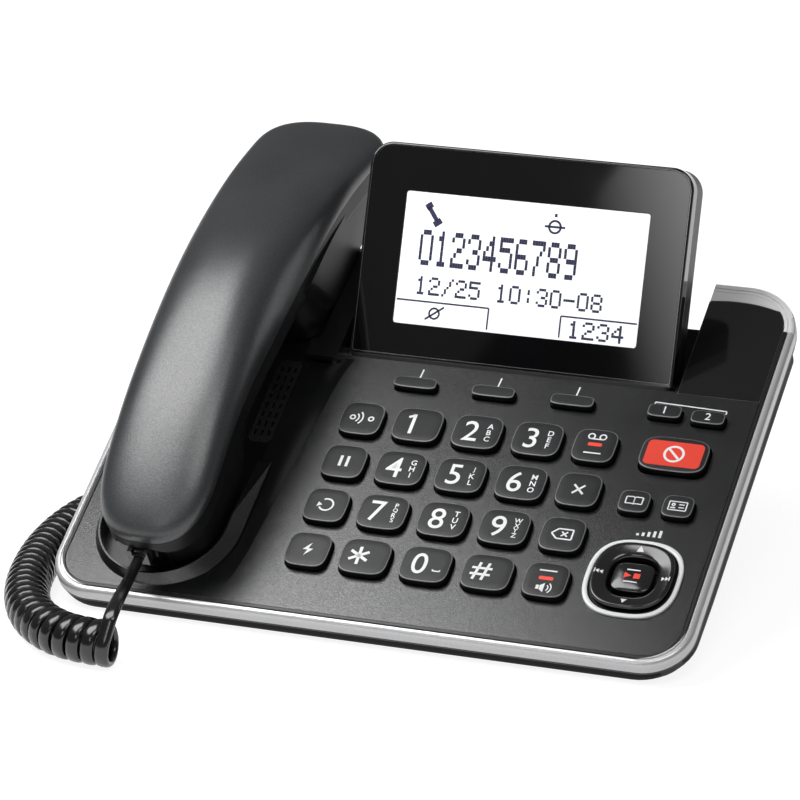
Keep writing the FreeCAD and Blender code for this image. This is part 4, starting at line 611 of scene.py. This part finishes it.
def squircle_ring(name, profile, material, body):
    """A closed ring whose section is the profile of (half width, height) in millimetres."""
    vertices, faces = [], []
    for radius, height in profile:
        vertices += [(NAV_CENTRE.x + x * MM, NAV_CENTRE.y + y * MM, height * MM) for x, y in squircle(radius)]
    for ring in range(len(profile)):
        above = (ring + 1) % len(profile)
        for n in range(NAV_STEPS):
            m = (n + 1) % NAV_STEPS
            faces.append((ring * NAV_STEPS + n, ring * NAV_STEPS + m, above * NAV_STEPS + m, above * NAV_STEPS + n))
    return new_piece(name, vertices, faces, material, body, PANEL)


def rocker_height(x, y):
    """Height of the rocker's dished top over a place about its centre, millimetres."""
    reach = (abs(x) ** NAV_POWER + abs(y) ** NAV_POWER) ** (1 / NAV_POWER)
    lowest, widest = ROCKER_TOP
    top = [corner for corner in ROCKER_PROFILE if corner[1] >= lowest and corner[0] < widest]
    for (r1, z1), (r0, z0) in zip(top, top[1:]):
        if r0 <= reach <= r1:
            return z0 + (z1 - z0) * (reach - r0) / (r1 - r0)
    return top[0][1] if reach > top[0][0] else top[-1][1]


def make_navigator():
    rim = squircle_ring("navigator_rim", RIM_PROFILE, WHITE_RING, "base")
    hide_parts("navigator_bezel")
    # painted shade: a flat near-black ring fills the gap round the rocker
    squircle_ring("navigator_gap_shade", GAP_PROFILE, KEY_SIDES_SHADE, "base")
    rocker = squircle_ring("navigator_rocker", ROCKER_PROFILE, NAV_BLACK, "navigator_ring")
    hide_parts("navigator_ring")
    low, high = node_extent("play_stop_key", PANEL, above=KEY_BOTTOM)
    half_w, half_l = (high.x - low.x) / 2, (high.y - low.y) / 2
    vertices = []
    for inset, height in DOME_PROFILE:
        for x, y in key_outline(half_w, half_l, KEY_CORNER, inset * MM):
            vertices.append((NAV_CENTRE.x + x, NAV_CENTRE.y + y, height * MM))
    vertices.append((NAV_CENTRE.x, NAV_CENTRE.y, DOME_TOP))
    faces = stacked(len(DOME_PROFILE), OUTLINE_STEPS)
    dome = new_piece("play_stop_cap", vertices, faces, NAV_BLACK, "play_stop_key", PANEL)
    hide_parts("play_stop_key")


make_navigator()

# ---- printed marks ----

def mesh_of(name, curve):
    """The mesh that a curve or text makes; its object is removed again."""
    holder = linked(name, curve)
    bpy.context.view_layer.update()
    mesh = bpy.data.meshes.new_from_object(holder.evaluated_get(bpy.context.evaluated_depsgraph_get()))
    bpy.data.objects.remove(holder)
    return mesh


PRINT_RISE = 0.03 * MM
PRINT_THICK = 0.02 * MM


def text_mark(name, text, place, height, body, bold=0.0, stretch=1.0):
    """Generic figures or letters printed on a key, centred on a place in the panel's frame."""
    curve = bpy.data.curves.new(name, "FONT")
    curve.body = text
    curve.size = 1.0
    curve.offset = bold
    curve.resolution_u = 6
    curve.extrude = 0.002
    mesh = mesh_of(name + "_text", curve)
    xs = [v.co.x for v in mesh.vertices]
    ys = [v.co.y for v in mesh.vertices]
    scale = height / (max(ys) - min(ys))
    middle = Vector(((max(xs) + min(xs)) / 2, (max(ys) + min(ys)) / 2, 0))
    local = (Matrix.Translation(Vector(place) + Vector((0, 0, PRINT_RISE)))
             @ Matrix.Diagonal((scale * stretch, scale, scale * 0.5, 1)) @ Matrix.Translation(-middle))
    mesh.transform(PANEL @ local)
    mesh.materials.clear()
    mesh.materials.append(PRINT_WHITE)
    mesh.name = name
    piece = linked(name, mesh)
    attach(piece, body)


def flat_mark(name, shapes, place, body, matrix=PANEL, material=PRINT_WHITE, drape=None):
    """Printed shapes: each a list of (x, y) corners in millimetres about the place, draped over a height if given."""
    vertices, faces = [], []
    for corners in shapes:
        start = len(vertices)
        count = len(corners)
        for level in (0, PRINT_THICK):
            for x, y in corners:
                lift = drape(x, y) * MM if drape else 0
                vertices.append((place[0] + x * MM, place[1] + y * MM, place[2] + lift + PRINT_RISE + level))
        faces.append(tuple(range(start + count - 1, start - 1, -1)))
        faces.append(tuple(range(start + count, start + 2 * count)))
        for n in range(count):
            m = (n + 1) % count
            faces.append((start + n, start + m, start + count + m, start + count + n))
    new_piece(name, vertices, faces, material, body, matrix, smooth=False)


def bar(x0, y0, x1, y1, width):
    """A straight stroke as four corners."""
    direction = Vector((x1 - x0, y1 - y0)).normalized() * (width / 2)
    side = Vector((-direction.y, direction.x))
    return [(x0 - side.x, y0 - side.y), (x1 - side.x, y1 - side.y), (x1 + side.x, y1 + side.y),
            (x0 + side.x, y0 + side.y)]


def arc_band(x, y, radius, width, start, end, steps=14):
    """A curved stroke as a chain of quads."""
    quads = []
    for n in range(steps):
        a = math.radians(start + (end - start) * n / steps)
        b = math.radians(start + (end - start) * (n + 1) / steps)
        inner, outer = radius - width / 2, radius + width / 2
        quads.append([(x + math.cos(t) * r, y + math.sin(t) * r)
                      for t, r in ((a, inner), (a, outer), (b, outer), (b, inner))])
    return quads


def ring_band(x, y, radius, width):
    return arc_band(x, y, radius, width, 0, 360, 24)


def loop_band(corners, width):
    """A closed outline drawn with one stroke width."""
    return [bar(*a, *b, width) for a, b in zip(corners, corners[1:] + corners[:1])]


DIGIT_HEIGHT = 9.1 * MM
DIGIT_SHIFT = -2.2 * MM
LETTER_SHIFT = 4.4 * MM
LETTER_PITCH = 2.9 * MM
LETTER_HEIGHT = 2.3 * MM
FOUR_PITCH, FOUR_SIZE = 0.76, 0.86      # shares for a key with four letters
DIAL_LETTERS = {"2": "ABC", "3": "DEF", "4": "GHI", "5": "JKL", "6": "MNO", "7": "PQRS", "8": "TUV", "9": "WXYZ"}


def print_digits():
    """Digits, the usual small letters beside them, star, hash and the bracket beside the nought."""
    for digit in "1234567890":
        body = "key_" + digit
        centre, top = KEY_TOPS[body]
        place = (centre.x + DIGIT_SHIFT, centre.y, top)
        if digit == "1":
            one = [bar(0.3, -4.5, 0.3, 4.5, 1.25), bar(-1.9, 3.0, 0.5, 4.1, 1.0)]
            flat_mark("digit_1", one, place, body)
        else:
            text_mark("digit_" + digit, digit, place, DIGIT_HEIGHT, body, bold=0.003, stretch=0.97)
        letters = DIAL_LETTERS.get(digit, "")
        pitch = LETTER_PITCH if len(letters) < 4 else LETTER_PITCH * FOUR_PITCH
        size = LETTER_HEIGHT if len(letters) < 4 else LETTER_HEIGHT * FOUR_SIZE
        for row, letter in enumerate(letters):
            y = centre.y + pitch * ((len(letters) - 1) / 2 - row)
            text_mark("letter_" + letter, letter, (centre.x + LETTER_SHIFT, y, top), size, body, bold=0.016)
    centre, top = KEY_TOPS["key_star"]
    arms = [bar(0, 0, 3.9 * math.cos(a), 3.9 * math.sin(a), 1.15)
            for a in [math.radians(90 + 60 * n) for n in range(6)]]
    flat_mark("star_mark", arms, (centre.x + DIGIT_SHIFT, centre.y, top), "key_star")
    centre, top = KEY_TOPS["key_hash"]
    strokes = [bar(-2.3, -3.8, -0.9, 3.8, 1.05), bar(0.9, -3.8, 2.3, 3.8, 1.05),
               bar(-3.6, 1.35, 3.8, 1.35, 1.0), bar(-3.8, -1.35, 3.6, -1.35, 1.0)]
    flat_mark("hash_mark", strokes, (centre.x + DIGIT_SHIFT, centre.y, top), "key_hash")
    centre, top = KEY_TOPS["key_0"]
    flat_mark("zero_space_mark", [bar(3.2, -2.6, 5.8, -2.6, 0.5), bar(3.2, -2.6, 3.2, -1.9, 0.45),
                                  bar(5.8, -2.6, 5.8, -1.9, 0.45)], (centre.x, centre.y, top), "key_0")


print_digits()


def print_icons():
    """Plain symbols where the function keys carry their labels."""
    icons = {
        "key_intercom": (ring_band(-3.4, 0, 0.9, 0.6) + arc_band(-3.4, 0, 2.3, 0.6, -50, 50)
                         + arc_band(-3.4, 0, 3.8, 0.6, -45, 45) + ring_band(3.6, 0, 0.9, 0.6)),
        "key_hold": [bar(-1.3, -2.4, -1.3, 2.4, 1.1), bar(1.3, -2.4, 1.3, 2.4, 1.1)],
        "key_redial": arc_band(0, 0, 2.6, 0.7, -150, 120) + [[(-3.4, -1.2), (-1.4, -0.2), (-3.0, 1.0)]],
        "key_flash": [[(0.9, 3.0), (-1.9, -0.3), (-0.1, -0.3)], [(-0.9, -3.0), (1.9, 0.3), (0.1, 0.3)]],
        "key_answer": (ring_band(-2.1, 4.0, 1.15, 0.55) + ring_band(2.1, 4.0, 1.15, 0.55)
                       + [bar(-2.1, 2.85, 2.1, 2.85, 0.55)] + [bar(-3.2, -3.6, 3.2, -3.6, 0.6)]),
        "key_exit": [bar(-2.0, -2.0, 2.0, 2.0, 0.8), bar(-2.0, 2.0, 2.0, -2.0, 0.8)],
        "key_erase": (loop_band([(-3.9, 0), (-1.7, 2.2), (3.7, 2.2), (3.7, -2.2), (-1.7, -2.2)], 0.6)
                      + [bar(-0.3, -1.0, 1.9, 1.0, 0.6), bar(-0.3, 1.0, 1.9, -1.0, 0.6)]),
        "key_speakerphone": ([[(-2.6, -4.5), (-1.5, -4.5), (-1.5, -2.7), (-2.6, -2.7)],
                              [(-1.3, -4.5), (0.3, -5.6), (0.3, -1.6), (-1.3, -2.7)]]
                             + arc_band(0.3, -3.6, 1.5, 0.45, -50, 50) + arc_band(0.3, -3.6, 2.6, 0.45, -50, 50)
                             + [bar(-3.2, 3.9, 3.2, 3.9, 0.6)]),
        "phonebook_key": (loop_band([(0, -1.5), (-0.6, -1.2), (-3.0, -1.3), (-3.0, 1.7), (-0.6, 1.8), (0, 1.5)], 0.45)
                          + loop_band([(0, -1.5), (0.6, -1.2), (3.0, -1.3), (3.0, 1.7), (0.6, 1.8), (0, 1.5)], 0.45)),
        "caller_id_key": (loop_band([(-3.2, -1.9), (3.2, -1.9), (3.2, 1.9), (-3.2, 1.9)], 0.45)
                          + ring_band(-1.6, 0.5, 0.5, 0.5) + [bar(-2.5, -0.9, -0.7, -0.9, 0.6),
                                                              bar(0.4, 0.7, 2.4, 0.7, 0.45),
                                                              bar(0.4, -0.6, 2.4, -0.6, 0.45)]),
    }
    for body, shapes in icons.items():
        centre, top = KEY_TOPS[body]
        flat_mark(body + "_mark", shapes, (centre.x, centre.y, top), body)
    for n, body in enumerate(("one_touch_key_1", "one_touch_key_2")):
        centre, top = KEY_TOPS[body]
        text_mark(body + "_mark", str(n + 1), (centre.x, centre.y + 0.2 * MM, top), 3.2 * MM, body, bold=0.01)


print_icons()


RED_HALF_W, RED_HALF_L, RED_CORNER = 10.3, 5.6, 1.8
RED_STEPS = 6


def print_call_block():
    """A red field with a plain barred circle."""
    body = "call_block_key"
    centre, top = KEY_TOPS[body]
    field = []
    for cx, cy, start in ((1, 1, 0), (-1, 1, 90), (-1, -1, 180), (1, -1, 270)):
        for n in range(RED_STEPS + 1):
            a = math.radians(start + 90 * n / RED_STEPS)
            field.append((cx * (RED_HALF_W - RED_CORNER) + RED_CORNER * math.cos(a),
                          cy * (RED_HALF_L - RED_CORNER) + RED_CORNER * math.sin(a)))
    flat_mark("red_field", [field], (centre.x, centre.y, top), body, material=PRINT_RED)
    sign = ring_band(0, 0, 3.4, 0.9) + [bar(-2.3, 2.3, 2.3, -2.3, 0.9)]
    flat_mark("block_sign", sign, (centre.x, centre.y, top + PRINT_THICK), body)


print_call_block()


def panel_marks():
    """Strokes over the soft keys, a bracket over the one touch keys, rising bars over the navigator."""
    marks = []
    for x in (-11.3, 18.6, 48.3):
        marks.append(bar(x - 0.15, 114.2, x + 0.15, 118.8, 0.55))
    marks += [bar(77.5, 115.9, 104.0, 115.1, 0.5), bar(77.5, 115.9, 77.5, 114.6, 0.5),
              bar(104.0, 115.1, 104.0, 113.8, 0.5)]
    for n in range(5):
        marks.append(bar(87.5 + 2.0 * n, 55.2, 87.5 + 2.0 * n, 56.2 + 0.55 * n, 1.0))
    flat_mark("panel_marks", marks, (0, 0, 0), "base")


panel_marks()


MARK_REACH = 11.6                # from the navigator's centre to its four marks, millimetres


def navigator_marks():
    """Arrows and skip signs on the rocker, and red lamps between two strokes on the middle key."""
    place = (NAV_CENTRE.x, NAV_CENTRE.y, 0)
    r = MARK_REACH
    shapes = [[(-1.3, r - 1.1), (1.3, r - 1.1), (0, r + 1.2)], [(-1.1, -r + 1.0), (0, -r - 0.9), (1.1, -r + 1.0)]]
    for side in (-1, 1):
        for k in (0.1, 1.5):
            x = side * (r - 1.2 + k)
            shapes.append([(x, -0.85), (x, 0.85), (x + side * 1.3, 0)][::side])
        shapes.append(bar(side * (r + 1.8), -0.9, side * (r + 1.8), 0.9, 0.4))
    flat_mark("navigator_marks", shapes, place, "navigator_ring", drape=rocker_height)
    place = (NAV_CENTRE.x, NAV_CENTRE.y, DOME_TOP)
    shapes = [bar(-2.4, 2.5, 2.4, 2.5, 0.55), bar(-2.4, -2.7, 2.4, -2.7, 0.55)]
    flat_mark("play_stop_marks", shapes, place, "play_stop_key")
    lamps = [[(-2.9, -1.3), (-0.3, 0.0), (-2.9, 1.3)], [(0.5, -1.1), (2.8, -1.1), (2.8, 1.1), (0.5, 1.1)]]
    flat_mark("play_stop_lamps", lamps, place, "play_stop_key", material=LAMP_RED)


navigator_marks()

# ---- LCD ----

SEGMENTS = {
    "0": "01110 10001 10001 10001 10001 10001 01110", "1": "00100 01100 00100 00100 00100 00100 01110",
    "2": "01110 10001 00001 00110 01000 10000 11111", "3": "01110 10001 00001 00110 00001 10001 01110",
    "4": "00010 00110 01010 10010 11111 00010 00010", "5": "11111 10000 11110 00001 00001 10001 01110",
    "6": "01110 10000 10000 11110 10001 10001 01110", "7": "11111 00001 00010 00100 00100 01000 01000",
    "8": "01110 10001 10001 01110 10001 10001 01110", "9": "01110 10001 10001 01111 00001 00001 01110",
    "-": "00000 00000 00000 11111 00000 00000 00000", ":": "00000 00100 00100 00000 00100 00100 00000",
    "/": "00001 00010 00010 00100 01000 01000 10000",
}
DOT_GAP = 0.02                   # millimetres between two dots


def lcd_pixels(text, x, y, dot_w, dot_h):
    """Dots of a 5 by 7 figure matrix, drawn from the upper left corner (millimetres)."""
    quads = []
    wide, tall = dot_w - DOT_GAP, dot_h - DOT_GAP
    for place, character in enumerate(text):
        if character == " ":
            continue
        for row, bits in enumerate(SEGMENTS[character].split()):
            for column, bit in enumerate(bits):
                if bit == "1":
                    x0 = x + (place * 6 + column) * dot_w
                    y0 = y - (row + 1) * dot_h
                    quads.append([(x0, y0), (x0 + wide, y0), (x0 + wide, y0 + tall), (x0, y0 + tall)])
    return quads


def lcd_picture():
    """Rows of plain digits, two symbols in the top line and two boxes at the bottom edge."""
    low, high = node_extent("lcd_panel", DISPLAY)
    width = (high.x - low.x) / MM
    height = (high.y - low.y) / MM
    place = (low.x, low.y, high.z)
    quads = lcd_pixels("0123456789", 7.0, height - 13.5, 1.02, 1.85)
    quads += lcd_pixels("12/25 10:30-08", 7.0, height - 30.5, 0.86, 0.95)
    # handset and bell symbols in the top line
    quads += [bar(9.0, height - 5.2, 12.6, height - 10.0, 1.7), bar(8.0, height - 5.6, 10.2, height - 4.0, 2.2),
              bar(11.6, height - 11.6, 14.2, height - 9.6, 2.2)]
    quads += ring_band(57.5, height - 8.0, 2.2, 0.8) + [bar(53.6, height - 8.0, 61.4, height - 8.0, 0.8),
                                                       bar(57.5, height - 4.4, 57.5, height - 3.2, 1.0)]
    # two boxes along the bottom edge with plain symbols
    quads += [bar(0.5, 8.6, 36.0, 8.6, 0.6), bar(36.0, 8.6, 36.0, 0.8, 0.6)]
    quads += [bar(12.0, 2.2, 19.0, 7.2, 0.7)] + ring_band(15.4, 4.6, 1.9, 0.7)
    quads += [bar(63.5, 8.6, width - 0.5, 8.6, 0.6), bar(63.5, 8.6, 63.5, 0.8, 0.6)]
    quads += lcd_pixels("1234", 66.5, 7.4, 0.92, 0.92)
    flat_mark("lcd_picture", quads, place, "display", matrix=DISPLAY, material=LCD_DARK)


lcd_picture()

# ---- cord ----

CORDAGE_WIDTH = 5.2 * MM
CORDAGE_THICK = 2.7 * MM
COIL_DIAMETER = 16.5 * MM
COIL_PITCH = 5.3 * MM
COIL_HEIGHT = COIL_DIAMETER / 2
COIL_START = math.radians(142)   # where on the first turn the lead joins
COIL_SPARE = 4                   # points left off the last turn
TURN_POINTS = 20
COIL_ROUTE = [(-70.4, -40.2), (-85.0, -40.4), (-99.0, -35.0), (-111.0, -24.0), (-120.5, -8.0),
              (-127.5, 12.0), (-132.2, 34.0), (-133.6, 56.0), (-131.0, 76.0), (-125.5, 92.0)]
RING_STEPS = 14
LEAD_STRAIGHT = 9 * MM           # straight part of the lead at each end
TAIL_STRAIGHT = 8 * MM           # the same where the base lead leaves the coil
JACK_BENDS = ((-19, -3, -13), (-11, 0, 0))      # of the base lead, from its jack, millimetres
SQUARENESS = 0.8                 # power that flattens the cordage's round section
PLUG_TAPER = 0.72                # width of the cordage where it leaves the handset's plug


def smooth_route(points):
    """Points along a NURBS spline that has the given points as its control points."""
    data = bpy.data.curves.new("route", "CURVE")
    data.dimensions = "3D"
    data.resolution_u = 16
    spline = data.splines.new("NURBS")
    spline.points.add(len(points) - 1)
    for control, point in zip(spline.points, points):
        control.co = (*point, 1.0)
    spline.order_u = 3
    spline.use_endpoint_u = True
    mesh = mesh_of("route", data)
    result = [v.co.copy() for v in mesh.vertices]
    bpy.data.meshes.remove(mesh)
    return result


def along(points, share):
    """Place and direction at a share of a polyline's length."""
    lengths = [0.0]
    for a, b in zip(points, points[1:]):
        lengths.append(lengths[-1] + (b - a).length)
    target = share * lengths[-1]
    for n in range(len(points) - 1):
        if target <= lengths[n + 1] or n == len(points) - 2:
            span = max(lengths[n + 1] - lengths[n], 1e-9)
            place = points[n].lerp(points[n + 1], (target - lengths[n]) / span)
            return place, (points[n + 1] - points[n]).normalized()


def polyline_length(points):
    return sum((b - a).length for a, b in zip(points, points[1:]))


def desk_point(x, y_from_front, z):
    return Vector((x * MM, y_from_front * MM - HALF_DEPTH, z * MM))


def plug_mouth():
    """Where the cord leaves the handset's plug, and its direction."""
    low, high = node_extent("handset_plug", PANEL)
    mouth = Vector(((low.x + high.x) / 2, low.y, (low.z + high.z) / 2))
    return PANEL @ mouth, (PANEL.to_3x3() @ Vector((0, -1, 0))).normalized()


def make_cord():
    """One length of flat cordage: handset lead, coil lying on the desk, and base lead to its jack."""
    coil_line = smooth_route([desk_point(x, y, COIL_HEIGHT / MM) for x, y in COIL_ROUTE])
    coil_length = polyline_length(coil_line)
    turns = int(coil_length / COIL_PITCH)
    radius = COIL_DIAMETER / 2 - CORDAGE_THICK / 2
    helix, widths = [], []
    total = turns * TURN_POINTS - COIL_SPARE
    margin = 0.5 * CORDAGE_WIDTH / coil_length
    for n in range(total + 1):
        share = margin + (1 - 2 * margin) * n / total
        centre, ahead = along(coil_line, share)
        side = ahead.cross(Vector((0, 0, 1))).normalized()
        up = side.cross(ahead).normalized()
        angle = COIL_START + 2 * math.pi * n / TURN_POINTS
        helix.append(centre + side * (radius * math.cos(angle)) + up * (radius * math.sin(angle)))
        widths.append(ahead)
    mouth, way = plug_mouth()
    first, second = helix[0], helix[1]
    tangent = (second - first).normalized()
    joining = first - tangent * LEAD_STRAIGHT
    lead = smooth_route([mouth, mouth + way * LEAD_STRAIGHT, mouth.lerp(joining, 0.6), joining,
                         first - tangent * (3 * MM), first])
    low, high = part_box("base_plug")
    jack = Vector((low.x, (low.y + high.y) / 2, (low.z + high.z) / 2))
    last, before = helix[-1], helix[-2]
    leaving = (last - before).normalized()
    tail = smooth_route([last, last + leaving * TAIL_STRAIGHT] + [jack + Vector(bend) * MM for bend in JACK_BENDS]
                        + [jack])
    path = lead[:-1] + helix + tail[1:]
    across = []
    lead_count, tail_count = len(lead) - 1, len(tail) - 1
    x_axis = Vector((1, 0, 0))
    for n in range(lead_count):
        share = n / lead_count
        across.append((x_axis * -1).lerp(widths[0], share * share).normalized())
    across += widths
    up_axis = (PANEL.to_3x3() @ Vector((0, 1, 0))).normalized()
    for n in range(tail_count):
        share = (n + 1) / tail_count
        across.append(widths[-1].lerp(up_axis, share * share).normalized())
    vertices, faces = [], []
    for n, point in enumerate(path):
        before = path[max(n - 1, 0)]
        after = path[min(n + 1, len(path) - 1)]
        direction = (after - before).normalized()
        wide = (across[n] - direction * across[n].dot(direction)).normalized()
        thin = direction.cross(wide)
        taper = 1.0
        if n < lead_count:
            taper = PLUG_TAPER + (1 - PLUG_TAPER) * min(1.0, n / lead_count * 1.6)
        for k in range(RING_STEPS):
            a = 2 * math.pi * k / RING_STEPS
            c, s = math.cos(a), math.sin(a)
            c = math.copysign(abs(c) ** SQUARENESS, c)
            s = math.copysign(abs(s) ** SQUARENESS, s)
            vertices.append(point + wide * (c * CORDAGE_WIDTH / 2 * taper) + thin * (s * CORDAGE_THICK / 2))
    for n in range(len(path) - 1):
        for k in range(RING_STEPS):
            m = (k + 1) % RING_STEPS
            faces.append((n * RING_STEPS + k, n * RING_STEPS + m, (n + 1) * RING_STEPS + m, (n + 1) * RING_STEPS + k))
    faces.append(tuple(range(RING_STEPS)))
    end = (len(path) - 1) * RING_STEPS
    faces.append(tuple(range(end + RING_STEPS - 1, end - 1, -1)))
    cord = new_piece("telephone_cord", vertices, faces, CORD_VINYL, None)
    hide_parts("handset_lead", "curly_cord", "base_lead")
    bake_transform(cord)


make_cord()

# ---- studio ----

FLOOR_HALF = 6.0
FLOOR_GREY = 0.36
FLOOR_FADE = (0.16, 0.5)         # from and to this distance the floor's glow rises
FLOOR_GLOW = (0.88, 1.0)
WORLD_LIGHT = 0.16
CARD_Y = -1.1                    # the slanting card: its height, slanted left edge and right edge
CARD_LOW, CARD_HIGH = 0.40, 0.72
CARD_LEFT_LOW, CARD_LEFT_HIGH = -0.436, -0.288
CARD_RIGHT = -0.10
CARD_GLOW = 5


def by_ray(tree, chooser, usual, chosen, output):
    """Sends one of two shaders to the output, as the kind of ray says."""
    switch = tree.nodes.new("ShaderNodeMixShader")
    tree.links.new(chooser, switch.inputs[0])
    tree.links.new(usual.outputs[0], switch.inputs[1])
    tree.links.new(chosen.outputs[0], switch.inputs[2])
    tree.links.new(switch.outputs[0], tree.nodes[output].inputs["Surface"])


def make_floor():
    """A matt desk that keeps the shadow and shows white to the camera and in reflections."""
    mesh = bpy.data.meshes.new("floor")
    r = FLOOR_HALF
    mesh.from_pydata([(-r, -r, 0), (r, -r, 0), (r, r, 0), (-r, r, 0)], [], [(0, 1, 2, 3)])
    floor = linked("floor", mesh)
    material, tree, shader = new_material("floor_white")
    shader.inputs["Base Color"].default_value = (FLOOR_GREY, FLOOR_GREY, FLOOR_GREY, 1)
    shader.inputs["Roughness"].default_value = 0.9
    shader.inputs["Specular IOR Level"].default_value = 0.0
    glow = tree.nodes.new("ShaderNodeEmission")
    reach = tree.nodes.new("ShaderNodeVectorMath")
    reach.operation = "LENGTH"
    tree.links.new(object_coords(tree), reach.inputs[0])
    tree.links.new(remap(tree, reach.outputs["Value"], *FLOOR_FADE, *FLOOR_GLOW), glow.inputs["Strength"])
    paths = tree.nodes.new("ShaderNodeLightPath")
    seen = combined(tree, "MAXIMUM", paths.outputs["Is Camera Ray"], paths.outputs["Is Glossy Ray"])
    both = tree.nodes.new("ShaderNodeAddShader")
    tree.links.new(shader.outputs[0], both.inputs[0])
    tree.links.new(glow.outputs[0], both.inputs[1])
    by_ray(tree, seen, shader, both, "Material Output")
    mesh.materials.append(material)


make_floor()


def area_light(name, place, target, size, power):
    data = bpy.data.lights.new(name, "AREA")
    data.shape = "RECTANGLE"
    data.size, data.size_y = size
    data.energy = power
    lamp = linked(name, data)
    lamp.location = place
    lamp.rotation_mode = "QUATERNION"
    lamp.rotation_quaternion = (Vector(target) - Vector(place)).to_track_quat("-Z", "Y")


area_light("softbox_left", (-0.222, -0.156, 0.437), (-0.02, -0.02, 0.06), (0.29, 0.364), 2.05)
area_light("fill_high", (0.5, -0.9, 1.5), (0.0, 0.0, 0.05), (0.9, 0.5), 6)


def make_card():
    """A slanting white card that only glossy faces show, brighter towards its upper right."""
    mesh = bpy.data.meshes.new("card")
    corners = ((CARD_LEFT_LOW, CARD_LOW), (CARD_RIGHT, CARD_LOW), (CARD_RIGHT, CARD_HIGH), (CARD_LEFT_HIGH, CARD_HIGH))
    mesh.from_pydata([(x, CARD_Y, z) for x, z in corners], [], [(0, 1, 2, 3)])
    card = linked("card", mesh)
    material, tree, shader = new_material("card_light")
    tree.nodes.remove(shader)
    split = tree.nodes.new("ShaderNodeSeparateXYZ")
    tree.links.new(object_coords(tree), split.inputs[0])
    across = remap(tree, split.outputs[0], -0.32, -0.22, 0.0, 6.0)
    rise = remap(tree, split.outputs[2], 0.45, 0.65, -3.0, 3.0)
    across.node.clamp = False
    total = combined(tree, "ADD", across, rise)
    glow = tree.nodes.new("ShaderNodeEmission")
    tree.links.new(remap(tree, total, 0, CARD_GLOW, 0, CARD_GLOW), glow.inputs["Strength"])
    tree.links.new(glow.outputs[0], tree.nodes["Material Output"].inputs["Surface"])
    mesh.materials.append(material)
    card.visible_camera = card.visible_diffuse = card.visible_shadow = card.visible_transmission = False


make_card()


def make_world():
    """Even light from all round, seen as plain white by the camera."""
    world = bpy.data.worlds.new("studio")
    bpy.context.scene.world = world
    world.use_nodes = True
    tree = world.node_tree
    back = tree.nodes["Background"]
    paths = tree.nodes.new("ShaderNodeLightPath")
    white = tree.nodes.new("ShaderNodeBackground")
    for background, strength in ((white, 1.0), (back, WORLD_LIGHT)):
        background.inputs["Color"].default_value = (1, 1, 1, 1)
        background.inputs["Strength"].default_value = strength
    by_ray(tree, paths.outputs["Is Camera Ray"], back, white, "World Output")


make_world()
bpy.context.scene.view_settings.view_transform = "Standard"
